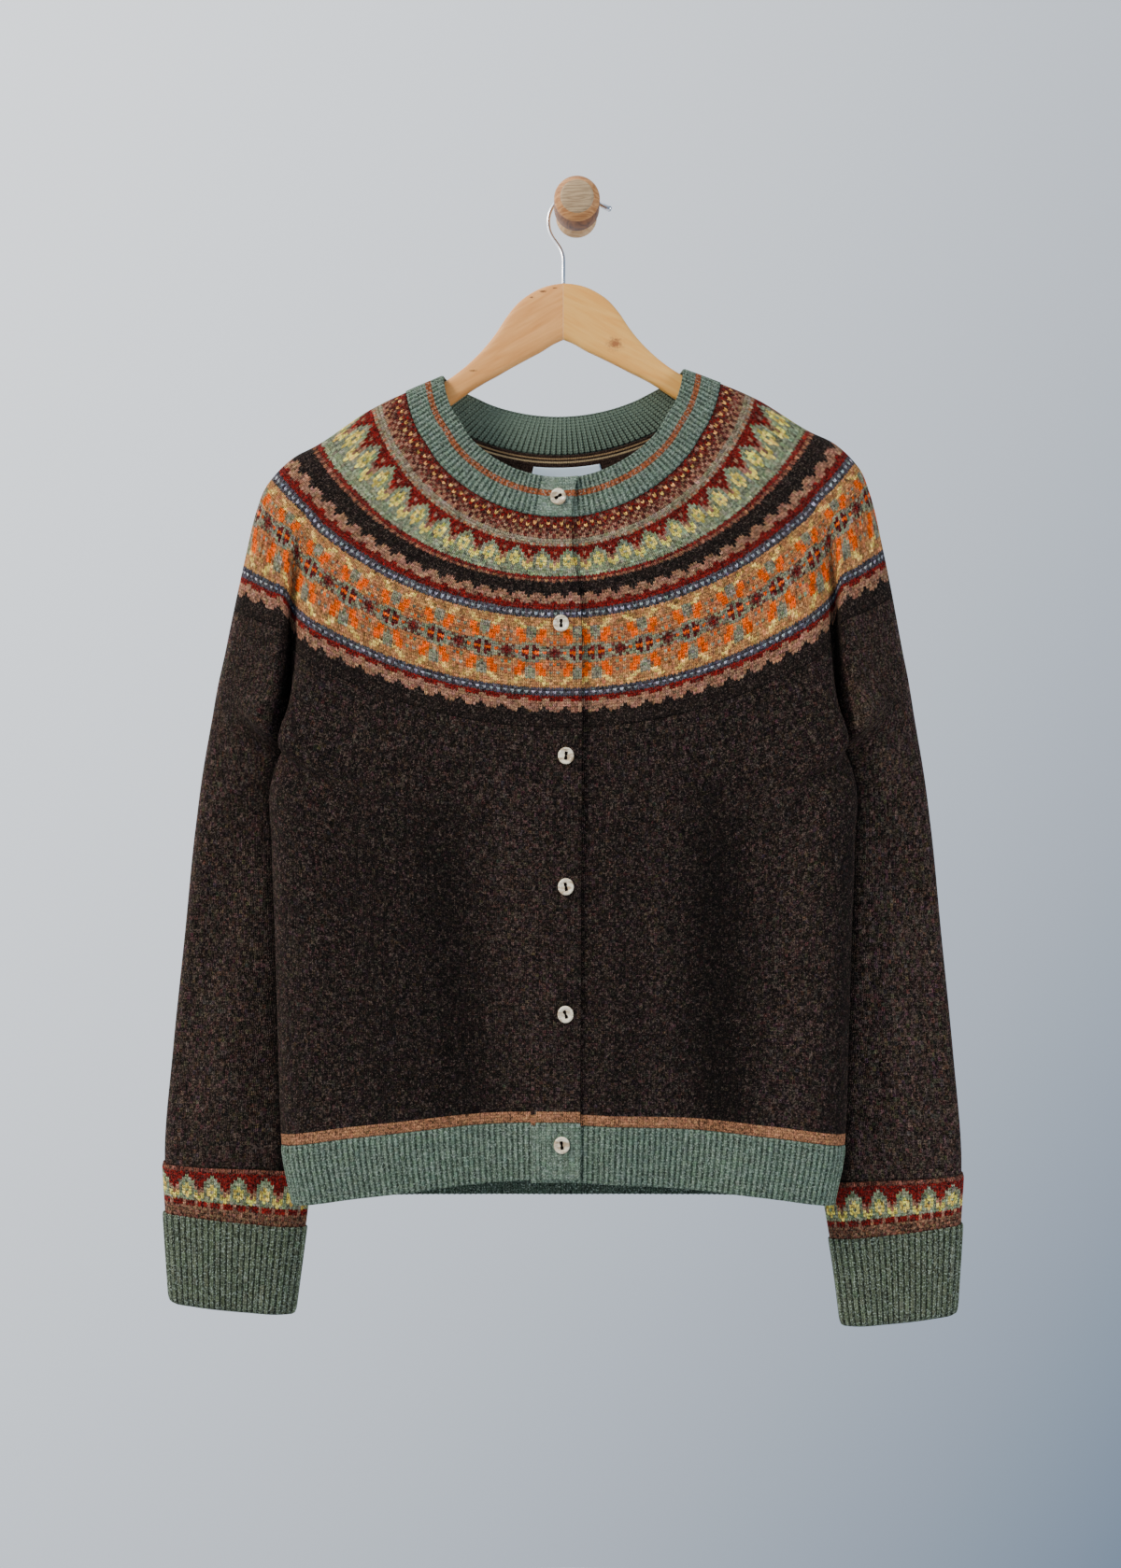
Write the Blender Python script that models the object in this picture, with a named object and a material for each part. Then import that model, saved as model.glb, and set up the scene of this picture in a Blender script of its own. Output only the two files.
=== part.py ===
"""Cropped knitted cardigan with a round yoke, on a wooden hanger that hooks over a wall peg.

The cloth is one smooth surface, read as surface(patch, side, u, v).  u runs round the garment
from the button front to the back, v runs down it from the neck edge, and every piece is a wall
between that surface and its inner copy.  Tables are in millimetres, meshes in metres.
x runs to the viewer's right, y into the wall and z up, from the middle of the peg's back face.
"""

import math
from collections import namedtuple

import bmesh
import bpy
import numpy as np

MM = 0.001

# Cloth
WALL = 2.0               # knitted fabric
SEAM = 0.2               # what each piece keeps back from a seam
YOKE_SEAM = 0.4          # the same on the yoke's own curved seams
UNDERARM_GAP = 0.6       # the sleeve stands off the body by this at the underarm
RIB_RISE = 0.9           # rib above the furrow beside it
NECK_RIB = 5.0           # width of one rib, with its furrow
HEM_RIB = 5.4
CUFF_RIB = 5.0
CUFF_STEP = 3.2          # from the sleeve out to the turned-up cuff
CUFF_WALL = 1.8

# Where the hung garment lies
CENTRE_X = -10.3         # its middle line beside the peg's axis
TILT = math.radians(1.6)     # the viewer's right shoulder hangs higher
TILT_TOP, TILT_END = -240.0, -420.0      # the tilt dies out between these heights
EDGE_BACK = 3.4          # the under front lies this far behind the top front
UNDER_LAP = 24.0         # the under front passes the middle line by this
LONG_SLEEVE = 9.0        # extra length of the viewer's right sleeve
SLIM_CUFF = 8.0          # how much narrower its cuff lies

# One row for each ring of the yoke.  v: depth down the knitting.  front_z, back_z: middle of the
# ring.  edge: the shoulder ridge.  share: armhole crease, as a part of the way from the middle to
# the ridge.  crease: how far it is folded in.  slack: how far the sleeve's rows ride up at it.
Ring = namedtuple("Ring", "v front_z edge_x edge_z back_z front_y edge_y back_y "
                          "share back_share crease slack")
RINGS = [
    Ring(0.0, -214.4, 91.4, -127.0, -157.0, -57.0, -28.0, -10.0, 0.70, 0.70, 0.00, 0.0),
    Ring(30.0, -242.4, 119.9, -138.5, -187.0, -60.0, -28.0, -9.0, 0.72, 0.72, 0.00, 0.0),
    Ring(64.0, -266.9, 150.6, -153.0, -214.0, -63.0, -28.0, -8.5, 0.745, 0.74, 0.00, 0.0),
    Ring(98.0, -287.9, 187.7, -177.0, -237.0, -66.0, -28.0, -8.0, 0.76, 0.75, 0.00, 0.0),
    Ring(115.0, -299.8, 205.6, -186.0, -250.0, -67.0, -28.0, -8.0, 0.77, 0.76, 0.02, 0.0),
    Ring(138.0, -318.7, 223.4, -203.0, -270.0, -68.5, -28.5, -8.0, 0.78, 0.765, 0.06, 2.0),
    Ring(170.0, -343.9, 234.0, -226.0, -298.0, -70.0, -29.0, -8.0, 0.79, 0.77, 0.16, 6.0),
    Ring(208.0, -370.5, 244.1, -269.0, -328.0, -72.0, -29.5, -8.0, 0.795, 0.77, 0.36, 9.0),
    Ring(245.0, -399.9, 251.3, -304.0, -360.0, -73.0, -30.0, -8.0, 0.78, 0.765, 0.60, 13.0),
    Ring(282.0, -436.0, 258.5, -341.0, -398.0, -74.0, -30.0, -8.0, 0.79, 0.755, 0.84, 10.0),
    Ring(320.0, -473.4, 265.0, -374.0, -440.0, -75.0, -31.0, -8.0, 0.80, 0.74, 1.00, 2.0),
]
UNDERARM_X, UNDERARM_Y = 206.0, -43.0
LIP, LIP_FOLDED = 12.0, 4.5          # half the crease's width, flat and folded
BACK_LIP = 12.0
TUCK = 11.0              # how far the sleeve presses the back forward beside the underarm
ARC_POWER, BACK_POWER = 2.4, 2.8     # fullness of the rings, seen from above

# One row for each ring of the body below the underarm.  side: the fold between front and back.
Body = namedtuple("Body", "v front_z side_z back_z side_x side_y front_y")
BODY = [
    Body(332.0, -483.0, -418.5, -450.0, 213.0, -50.0, -75.5),
    Body(355.0, -501.0, -441.0, -468.0, 220.0, -53.0, -76.0),
    Body(398.0, -532.0, -484.0, -506.0, 219.5, -54.0, -77.0),
    Body(468.0, -583.0, -554.0, -570.0, 217.0, -54.0, -78.0),
    Body(539.0, -635.0, -625.0, -636.0, 215.0, -54.0, -78.0),
    Body(610.0, -687.0, -704.4, -705.0, 212.5, -53.0, -77.0),
    Body(618.4, -695.5, -713.0, -713.5, 212.0, -53.0, -77.0),
    Body(664.5, -741.0, -758.0, -759.5, 204.0, -52.0, -76.0),
]
BACK_Y = -8.0
YOKE_V, YOKE_END_V, UNDERARM_V = 30.0, 245.0, 320.0      # neckband seam, yoke's end, underarm
RIB_V, HEM_V = 618.4, 664.5                              # hem rib, from its seam to the free edge
CREASE_END_V = 400.0     # the armhole's crease has opened out below this

# One row for each ring of a sleeve below the underarm, from its inner to its outer edge.
Sleeve = namedtuple("Sleeve", "v inner_x inner_z outer_x outer_z front_y back_y")
SLEEVE = [
    Sleeve(332.0, 203.0, -418.5, 268.5, -392.0, -50.0, -7.0),
    Sleeve(355.0, 191.0, -441.0, 275.0, -425.0, -44.5, -6.0),
    Sleeve(398.0, 182.0, -484.0, 282.0, -473.0, -41.0, -5.0),
    Sleeve(476.0, 179.0, -554.0, 290.5, -556.0, -40.0, -5.0),
    Sleeve(564.0, 184.0, -640.0, 299.5, -644.0, -40.0, -6.0),
    Sleeve(645.0, 192.0, -720.0, 306.0, -725.0, -38.0, -7.5),
    Sleeve(692.0, 199.0, -776.0, 304.0, -765.0, -36.0, -9.5),
    Sleeve(700.0, 200.0, -784.0, 303.5, -772.5, -36.0, -10.0),
    Sleeve(767.0, 208.5, -849.0, 299.0, -840.0, -34.0, -12.0),
]
CUFF_TOP_V, SLEEVE_END_V, CUFF_FOLD_V = 697.0, 706.0, 765.0
SLEEVE_POWER = 2.3
SLEEVE_TURNS = (0, 38, 78, 122, 158, 180, 202, 240, 285, 322, 360)     # control points, degrees

# Where the right sleeve, as seen, grows longer and slimmer, and how wide it is there
LONG_FROM, LONG_TO = 360.0, 690.0
SLIM_FROM, SLIM_TO = 560.0, 740.0
CUFF_INNER_X, CUFF_WIDTH = 200.0, 100.0

# The front edge that shows, beside the middle line, and how far down each reading lies
LAP_V = [0.0, 20.0, 64.0, 98.0, 120.0, 160.0, 664.5]
LAP_X = [11.0, 6.5, 6.5, 10.5, 13.0, 14.0, 12.5]
LAP_BEND = (18.0, 40.0)  # over this distance from the middle line the under front steps back

# Columns without ribs: at the neckband's two ends, and on the hem of each front
NECK_PLAIN = (13, 14)
HEM_PLAIN = {-1: 3, 1: 15}
NECK_EVEN_V, CUFF_EVEN_V = 15.0, 735.0   # where the ribs are measured out evenly

# Soft folds of the hanging cloth.  side: -1 left, 1 right, as seen.  depth: into the garment.
SLEEVE_FRONT_Y, SLEEVE_FADE = -22.0, 12.0        # folds fade out round the sleeve's edges
Fold = namedtuple("Fold", "face side x top_z end_z lean half_width depth")
FOLDS = [
    Fold("front", -1, 176.0, -400.0, -640.0, 0.16, 26.0, 4.0),
    Fold("front", -1, 92.0, -470.0, -740.0, 0.05, 34.0, 3.0),
    Fold("front", 1, 170.0, -410.0, -660.0, 0.18, 28.0, 4.0),
    Fold("front", 1, 104.0, -500.0, -750.0, 0.04, 32.0, 3.5),
    Fold("front", 1, 46.0, -560.0, -745.0, 0.06, 22.0, -2.5),
    Fold("back", -1, 120.0, -420.0, -740.0, 0.10, 34.0, -3.5),
    Fold("back", 1, 96.0, -460.0, -750.0, 0.08, 36.0, -3.5),
    Fold("sleeve", -1, 236.0, -430.0, -650.0, -0.22, 20.0, 4.0),
    Fold("sleeve", -1, 276.0, -560.0, -760.0, -0.10, 18.0, 3.0),
    Fold("sleeve", 1, 240.0, -420.0, -620.0, -0.20, 22.0, 4.0),
    Fold("sleeve", 1, 268.0, -540.0, -750.0, -0.12, 18.0, 3.5),
]

# Buttons: height of each centre, and how far it lies left of the middle line
BUTTON_Z = [-226.5, -321.0, -419.5, -517.5, -614.0, -712.0]
BUTTON_X = [-3.6, -2.4, 1.0, 1.0, 0.4, -1.6]
BUTTON_R, BUTTON_H = 6.35, 2.4
BUTTON_GAP, BUTTON_SIDES = 0.5, 16
# radius and height of its outline, from the dished face over the rim to the back
BUTTON_OUTLINE = [(0.0, 1.5), (2.4, 1.6), (4.4, BUTTON_H), (BUTTON_R, 1.5),
                  (BUTTON_R - 0.2, 0.7), (BUTTON_R - 1.4, 0.0), (0.0, 0.0)]

# Neck label
LABEL_W, LABEL_H, LABEL_TOP = 56.0, 24.0, 33.0
LABEL_X, LABEL_T, LABEL_GAP = 3.0, 0.6, 0.3

# Hanger.  One row for each station of an arm, out from the joint in the middle.
Arm = namedtuple("Arm", "x top_z end_z")
ARMS = [
    Arm(0.0, -58.6, -101.5),
    Arm(8.0, -59.4, -105.0),
    Arm(17.0, -61.8, -110.5),
    Arm(26.0, -66.3, -115.0),
    Arm(35.0, -73.1, -119.6),
    Arm(43.5, -83.4, -124.1),
    Arm(51.0, -94.9, -128.2),
    Arm(58.5, -104.4, -132.0),
    Arm(69.0, -115.2, -138.0),
    Arm(90.0, -131.0, -152.0),
    Arm(120.0, -142.6, -164.5),
    Arm(150.0, -156.6, -178.0),
    Arm(180.0, -176.0, -193.0),
    Arm(194.0, -184.9, -198.0),
    Arm(199.0, -189.2, -196.5),
]
ARM_Y, ARM_HALF = -28.0, 5.5
ARM_POWER = 3.2
ARM_SIDES = 12

# Hook of the hanger
WIRE_R = 1.45
HOOK_R, HOOK_Z, HOOK_Y = 21.8, -9.2, -20.6
HOOK_FROM, HOOK_TO = math.radians(180.0), math.radians(43.0)
SHANK_X, SHANK_TOP, SHANK_END = -10.2, -41.0, -58.55
TIP_X, TIP_Z, TIP_R = 25.6, -0.8, 2.1
WIRE_SIDES = 10

# Wall peg, as radius and y of its turned outline from the wall to the face
PEG = [(16.0, 0.0), (15.6, -1.5), (12.2, -12.0), (10.8, -17.6), (10.8, -23.4), (16.6, -23.9),
       (17.4, -25.0), (17.3, -50.6), (16.6, -52.4), (12.4, -57.2), (11.4, -58.0)]
PEG_SIDES = 28

SAGE = (0.115, 0.20, 0.14, 1.0)
BROWN = (0.035, 0.025, 0.02, 1.0)
TAN = (0.33, 0.17, 0.09, 1.0)
PEARL = (0.75, 0.70, 0.62, 1.0)
WHITE = (0.80, 0.84, 0.90, 1.0)
PINE_PINK = (0.62, 0.38, 0.22, 1.0)
PINE_GOLD = (0.66, 0.43, 0.20, 1.0)
OAK = (0.48, 0.31, 0.18, 1.0)
CHROME = (0.80, 0.80, 0.82, 1.0)


# ---------------------------------------------------------------- curves

def hermite(a, b, rise_a, rise_b, s):
    """The cubic from a to b with these end tangents, at s from 0 to 1."""
    s2, s3 = s * s, s * s * s
    return (a * (2 * s3 - 3 * s2 + 1) + rise_a * (s3 - 2 * s2 + s)
            + b * (3 * s2 - 2 * s3) + rise_b * (s3 - s2))


def down(knots, points, v, corner=None):
    """Points at v on the smooth curve through `points` at `knots`; `corner` may be a sharp one."""
    knots = np.asarray(knots, float)
    gaps = np.diff(knots)[:, None]
    slopes = np.diff(points, axis=0) / gaps
    middle = (gaps[1:] * slopes[:-1] + gaps[:-1] * slopes[1:]) / (gaps[1:] + gaps[:-1])
    leave = np.vstack([slopes[:1], middle, slopes[-1:]])
    arrive = leave.copy()
    if corner is not None and corner < len(slopes):
        arrive[corner] = slopes[corner - 1]
        leave[corner] = slopes[corner]
    i = np.clip(np.searchsorted(knots, v, side="right") - 1, 0, len(knots) - 2)
    s = ((v - knots[i]) / gaps[i, 0])[:, None]
    return hermite(points[i], points[i + 1], leave[i] * gaps[i], arrive[i + 1] * gaps[i], s)


def across(net, u):
    """Points at u on the curve through each row of net, whose first and last columns are pads."""
    chords = np.linalg.norm(np.diff(net, axis=1), axis=2)[..., None] + 1e-6
    slopes = np.diff(net, axis=1) / chords
    tangents = ((chords[:, 1:] * slopes[:, :-1] + chords[:, :-1] * slopes[:, 1:])
                / (chords[:, 1:] + chords[:, :-1]))
    i = np.clip(np.floor(u).astype(int), 0, net.shape[1] - 4)
    s = (u - i)[:, None]
    row = np.arange(len(u))
    span = chords[row, i + 1]
    return hermite(net[row, i + 1], net[row, i + 2],
                   tangents[row, i] * span, tangents[row, i + 1] * span, s)


def arc(part, width, drop):
    """x and depth on the circle arc that leaves the middle level and ends at (width, drop)."""
    turn = 2.0 * math.atan2(drop, width)
    if abs(turn) < 1e-4:
        return width * part, drop * part * part
    return (width * math.sin(part * turn) / math.sin(turn),
            drop * (1.0 - math.cos(part * turn)) / (1.0 - math.cos(turn)))


def smooth(edge0, edge1, x):
    """0 before edge0, 1 past edge1, and a soft rise between them."""
    t = np.clip((x - edge0) / (edge1 - edge0), 0.0, 1.0)
    return t * t * (3.0 - 2.0 * t)


# ---------------------------------------------------------------- the garment's control net

def ring_point(ring, face, part, lift=0.0):
    """A point of a yoke ring, `part` of the way from its middle to the shoulder ridge."""
    middle_z, middle_y = (ring.front_z, ring.front_y) if face == "front" else (ring.back_z,
                                                                              ring.back_y)
    power = ARC_POWER if face == "front" else BACK_POWER
    x, rise = arc(part, ring.edge_x, ring.edge_z - middle_z)
    full = (1.0 - part ** power) ** (1.0 / power)
    return np.array([x, ring.edge_y + (middle_y - ring.edge_y) * full, middle_z + rise + lift])


def ring_stations(ring):
    """The control points of half a yoke ring, from the front's middle round to the back's."""
    length = math.hypot(ring.edge_x, ring.edge_z - ring.front_z)
    lip = (LIP + (LIP_FOLDED - LIP) * ring.crease) / length
    back_lip = BACK_LIP / length
    front_mid = ring_point(ring, "front", ring.share)
    body_lip = ring_point(ring, "front", ring.share - lip)
    sleeve_lip = ring_point(ring, "front", ring.share + lip, ring.slack)
    fold = (body_lip + sleeve_lip) / 2.0
    fold[0] += (UNDERARM_X - fold[0]) * ring.crease
    fold[1] = front_mid[1] + (UNDERARM_Y - front_mid[1]) * ring.crease
    back_body = ring_point(ring, "back", ring.back_share - back_lip)
    back_body[1] -= TUCK * ring.crease ** 2
    back_sleeve = ring_point(ring, "back", ring.back_share + back_lip, ring.slack / 2.0)
    back_mid = ring_point(ring, "back", ring.back_share)
    back_fold = (back_body + back_sleeve) / 2.0
    back_fold[0] += (UNDERARM_X - back_fold[0]) * ring.crease
    back_fold[1] = back_mid[1] + (UNDERARM_Y - back_mid[1]) * ring.crease
    back_fold[2] += (fold[2] - back_fold[2]) * ring.crease
    body_part = ring.share - lip
    sleeve_part = 1.0 - ring.share - lip
    back_part = ring.back_share - back_lip
    back_sleeve_part = 1.0 - ring.back_share - back_lip
    front = [ring_point(ring, "front", body_part * k) for k in (0.0, 0.36, 0.74)] + [body_lip, fold]
    apart = np.array([UNDERARM_GAP * ring.crease ** 2, 0.0, 0.0])
    sleeve = [fold + apart, sleeve_lip]
    for k in (0.34, 0.68, 0.9):
        part = ring.share + lip + sleeve_part * k
        sleeve.append(ring_point(ring, "front", part, ring.slack * (1.0 - k)))
    sleeve.append(ring_point(ring, "front", 1.0))
    for k in (0.1, 0.32, 0.66):
        part = 1.0 - back_sleeve_part * k
        sleeve.append(ring_point(ring, "back", part, ring.slack * k / 2.0))
    sleeve += [back_sleeve, back_fold + apart]
    back = [back_fold, back_body] + [ring_point(ring, "back", back_part * k)
                                     for k in (0.72, 0.34, 0.0)]
    return front, sleeve, back


def body_stations(row):
    """The control points of half a body ring below the underarm: its front and its back."""
    def at(part, y, middle_z, back=0.0):
        x = row.side_x * part - back
        return np.array([x, y, middle_z + (row.side_z - middle_z) * (x / row.side_x) ** 2])

    side = np.array([row.side_x, row.side_y, row.side_z])
    front = [at(0.0, row.front_y, row.front_z), at(0.36, row.front_y + 0.5, row.front_z),
             at(0.74, row.front_y + 4.5, row.front_z),
             at(1.0, row.side_y - 8.0, row.front_z, 4.0), side]
    pressed = min((row.side_x - UNDERARM_X) / 7.0, 1.0) if row.v < CREASE_END_V else 1.0
    back = [side, at(1.0, row.side_y + 12.0 - 6.0 * pressed, row.back_z, 19.0),
            at(0.72, BACK_Y - 4.0 - 7.0 * pressed, row.back_z),
            at(0.34, BACK_Y - 0.6, row.back_z), at(0.0, BACK_Y, row.back_z)]
    return front, back


def sleeve_stations(row):
    """The control points of a sleeve ring below the underarm, from its inner edge round."""
    centre_x, half_x = (row.inner_x + row.outer_x) / 2.0, (row.outer_x - row.inner_x) / 2.0
    centre_y, half_y = (row.front_y + row.back_y) / 2.0, (row.back_y - row.front_y) / 2.0
    points = []
    for degrees in SLEEVE_TURNS:
        turn = math.radians(degrees)
        c, s = math.cos(turn), math.sin(turn)
        x = -math.copysign(abs(c) ** (2.0 / SLEEVE_POWER), c) * half_x
        y = -math.copysign(abs(s) ** (2.0 / SLEEVE_POWER), s) * half_y
        part = (x + half_x) / (2.0 * half_x)
        points.append(np.array([centre_x + x, centre_y + y,
                                row.inner_z + (row.outer_z - row.inner_z) * part]))
    return points


def mirrored(point):
    return point * np.array([-1.0, 1.0, 1.0])


def build_nets():
    """For each patch: its knots, and one list of control points for each column, pads included."""
    tops = [ring_stations(ring) for ring in RINGS]
    lows = [body_stations(row) for row in BODY]
    arms = [sleeve_stations(row) for row in SLEEVE]
    body_knots = [ring.v for ring in RINGS] + [row.v for row in BODY]
    sleeve_knots = [ring.v for ring in RINGS] + [row.v for row in SLEEVE]
    last = len(tops) - 1
    front, back, sleeve = [], [], []
    for i, (ahead, arm, behind) in enumerate(tops):
        if i == last:       # at the underarm the body closes, and the sleeve ends straight
            pads = [behind[1], ahead[3], 2 * arm[0] - arm[1], 2 * arm[-1] - arm[-2]]
        else:
            pads = [arm[1], arm[-2], ahead[3], behind[1]]
        front.append([mirrored(ahead[2]), mirrored(ahead[1])] + ahead + [pads[0]])
        back.append([pads[1]] + behind + [mirrored(behind[3]), mirrored(behind[2])])
        sleeve.append([pads[2]] + arm + [pads[3]])
    for ahead, behind in lows:
        front.append([mirrored(ahead[2]), mirrored(ahead[1])] + ahead + [behind[1]])
        back.append([ahead[3]] + behind + [mirrored(behind[3]), mirrored(behind[2])])
    for arm in arms:
        sleeve.append([arm[-2]] + arm + [arm[1]])
    return {"front": (body_knots, np.array(front), {6}, 1),
            "back": (body_knots, np.array(back), {1}, 0),
            "sleeve": (sleeve_knots, np.array(sleeve), {1, 11}, 0)}


NETS = build_nets()
CORNER = len(RINGS) - 1
FRONT_END, SLEEVE_END, BACK_END = 4.0, 10.0, 4.0


def net_at(patch, v):
    """The patch's control points at each v, as rows of columns."""
    knots, net, sharp, _ = NETS[patch]
    columns = [down(knots, net[:, j], v, CORNER if j in sharp else None)
               for j in range(net.shape[1])]
    return np.stack(columns, axis=1)


def fold_shift(patch, side, points):
    """How far the soft folds move each point towards the wall."""
    shift = np.zeros(len(points))
    for fold in FOLDS:
        if fold.face != patch or fold.side != side:
            continue
        fall = np.clip((fold.top_z - points[:, 2]) / (fold.top_z - fold.end_z), 0.0, 1.0)
        line = fold.x + fold.lean * (points[:, 2] - fold.top_z)
        near = np.exp(-((points[:, 0] - line) / fold.half_width) ** 2)
        shift += fold.depth * near * np.sin(math.pi * fall) ** 2
    return shift


def surface(patch, side, u, v):
    """Points of the cloth's outer side, in millimetres.  side is -1 on the viewer's left."""
    points = across(net_at(patch, v), u + NETS[patch][3])
    shift = fold_shift(patch, side, points)
    if patch == "sleeve":
        shift *= np.clip((SLEEVE_FRONT_Y - points[:, 1]) / SLEEVE_FADE, 0.0, 1.0)
    points[:, 1] += shift
    if patch == "sleeve" and side > 0:
        points[:, 2] -= LONG_SLEEVE * smooth(LONG_FROM, LONG_TO, v)
        slim = SLIM_CUFF * smooth(SLIM_FROM, SLIM_TO, v)
        points[:, 0] += slim * (1.0 - (points[:, 0] - CUFF_INNER_X) / CUFF_WIDTH)
    if patch == "front" and side > 0:
        points[:, 1] += EDGE_BACK * (1.0 - smooth(*LAP_BEND, points[:, 0]))
    points[:, 0] *= side
    points[:, 2] += (points[:, 0] * math.tan(TILT) * smooth(TILT_END, TILT_TOP, points[:, 2]))
    points[:, 0] += CENTRE_X
    return points


def surface_normal(patch, side, u, v):
    """Outward unit normals of the same points."""
    step_u, step_v = 0.004, 0.4
    low, high = NETS[patch][0][0], NETS[patch][0][-1]
    along_u = surface(patch, side, u + step_u, v) - surface(patch, side, u - step_u, v)
    along_v = (surface(patch, side, u, np.minimum(v + step_v, high))
               - surface(patch, side, u, np.maximum(v - step_v, low)))
    normal = -side * np.cross(along_u, along_v)
    return normal / np.linalg.norm(normal, axis=1)[:, None]


# ---------------------------------------------------------------- columns of a piece

class Column:
    """A line down the cloth.  On a front, part runs from its free edge to the side."""

    def __init__(self, patch, side, part):
        self.patch, self.side, self.part = patch, side, part

    def u(self, v):
        if self.patch != "front":
            return np.full(len(v), float(self.part))
        edge = np.interp(v, LAP_V, LAP_X) if self.side < 0 else np.full(len(v), UNDER_LAP)
        net = net_at("front", v)
        first = np.linalg.norm(net[:, 3] - net[:, 2], axis=1)
        start = -edge / first
        return start + (FRONT_END - start) * self.part

    def read(self, v):
        u = self.u(v)
        return surface(self.patch, self.side, u, v), surface_normal(self.patch, self.side, u, v)


def even_columns(legs, v, spacing):
    """Columns at even distances round the garment at one v, along legs (patch, side, from, to)."""
    spot = np.array([v])
    tables, total = [], 0.0
    for leg in legs:
        patch, side, start, stop = leg
        parts = np.linspace(start, stop, 160)
        line = np.array([Column(patch, side, part).read(spot)[0][0] for part in parts])
        steps = np.linalg.norm(np.diff(line, axis=0), axis=1)
        lengths = total + np.concatenate([[0.0], np.cumsum(steps)])
        total = lengths[-1]
        tables.append((patch, side, parts, lengths))
    columns = []
    for target in np.linspace(0.0, total, max(2, round(total / spacing)) + 1):
        patch, side, parts, lengths = next(t for t in tables if target <= t[3][-1] + 1e-6)
        columns.append(Column(patch, side, float(np.interp(target, lengths, parts))))
    return columns


# ---------------------------------------------------------------- meshes

def finish_mesh(name, bm, colour, roughness, metallic=0.0):
    """Turn bm into the named object with its own material, scaled to metres."""
    bmesh.ops.scale(bm, vec=(MM, MM, MM), verts=bm.verts)
    bmesh.ops.recalc_face_normals(bm, faces=bm.faces)
    mesh = bpy.data.meshes.new(name)
    bm.to_mesh(mesh)
    bm.free()
    mesh.shade_smooth()
    mesh.set_sharp_from_angle(angle=math.radians(40.0))
    material = bpy.data.materials.new(name)
    material.use_nodes = True
    shader = material.node_tree.nodes["Principled BSDF"]
    shader.inputs["Base Color"].default_value = colour
    shader.inputs["Roughness"].default_value = roughness
    shader.inputs["Metallic"].default_value = metallic
    mesh.materials.append(material)
    piece = bpy.data.objects.new(name, mesh)
    bpy.context.scene.collection.objects.link(piece)
    return piece


def pull(grid, axis, end, distance):
    """Move one border of a grid of points inwards along the grid by the distance."""
    moved = np.moveaxis(grid, axis, 0)
    border, inner = (0, 1) if end == "first" else (-1, -2)
    way = moved[inner] - moved[border]
    way /= np.linalg.norm(way, axis=-1)[..., None]
    moved[border] += way * distance


def close_rim(bm, a, b, c, d):
    """The rim face a, b, c, d, split along its shorter diagonal, as on the piece beyond the seam."""
    if (a.co - c.co).length < (b.co - d.co).length:
        bm.faces.new((a, b, c))
        bm.faces.new((a, c, d))
    else:
        bm.faces.new((a, b, d))
        bm.faces.new((b, c, d))


def wall(name, columns, rows, colour, rise=None, closed_from=None, seams="tblr", seam=SEAM):
    """A wall of cloth over the columns and rows.  rise lifts the outer points of each column.

    seams names the borders that keep back from a neighbour: top, bottom, left, right.
    From the row closed_from on, the first and the last column are one line.
    """
    v = np.array(rows, float)
    outer, inner = [], []
    for k, column in enumerate(columns):
        points, normals = column.read(v)
        lift = 0.0 if rise is None else rise[k]
        outer.append(points + normals * lift)
        inner.append(points - normals * WALL)
    grids = [np.stack(outer, axis=1), np.stack(inner, axis=1)]
    open_rows = len(v) if closed_from is None else closed_from
    for grid in grids:
        if "t" in seams:
            pull(grid, 0, "first", seam)
        if "b" in seams:
            pull(grid, 0, "last", seam)
        if "l" in seams:
            pull(grid[:open_rows], 1, "first", SEAM)
        if "r" in seams:
            pull(grid[:open_rows], 1, "last", SEAM)

    bm = bmesh.new()
    last = len(columns) - 1
    sheets = []
    for grid in grids:
        sheet = []
        for r in range(len(v)):
            line = [bm.verts.new(grid[r, c]) for c in range(last)]
            line.append(line[0] if r >= open_rows else bm.verts.new(grid[r, last]))
            sheet.append(line)
        sheets.append(sheet)
    out, back = sheets
    for r in range(len(v) - 1):
        for c in range(last):
            bm.faces.new((out[r][c], out[r][c + 1], out[r + 1][c + 1], out[r + 1][c]))
            bm.faces.new((back[r][c], back[r + 1][c], back[r + 1][c + 1], back[r][c + 1]))
    for c in range(last):
        close_rim(bm, out[0][c], back[0][c], back[0][c + 1], out[0][c + 1])
        close_rim(bm, out[-1][c], out[-1][c + 1], back[-1][c + 1], back[-1][c])
    for r in range(min(len(v) - 1, open_rows)):
        close_rim(bm, out[r][0], out[r + 1][0], back[r + 1][0], back[r][0])
        close_rim(bm, out[r][last], back[r][last], back[r + 1][last], out[r + 1][last])
    return finish_mesh(name, bm, colour, 0.9)


def ribs(count, plain=()):
    """Rise of each column: every second one stands up, except the plain ones."""
    return [0.0 if k in plain else RIB_RISE * (k % 2) for k in range(count)]


# ---------------------------------------------------------------- cloth pieces

FULL_RING = [("front", -1, 0.0, 1.0), ("sleeve", -1, 0.0, SLEEVE_END), ("back", -1, 0.0, BACK_END),
             ("back", 1, BACK_END, 0.0), ("sleeve", 1, SLEEVE_END, 0.0), ("front", 1, 1.0, 0.0)]
FRONT_PARTS = [0.0, 0.07, 0.14, 0.22, 0.31, 0.40, 0.49, 0.58, 0.67, 0.76, 0.84, 0.90, 0.95, 1.0]
SLEEVE_PARTS = [0.0, 0.5, 1.0, 1.7, 2.4, 3.2, 4.0, 4.5, 5.0, 5.5, 6.0, 6.8, 7.6, 8.3, 9.0, 9.5,
                10.0]
BACK_PARTS = [0.0, 0.5, 1.0, 1.4, 1.8, 2.2, 2.6, 3.1, 3.55, 4.0]


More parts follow.
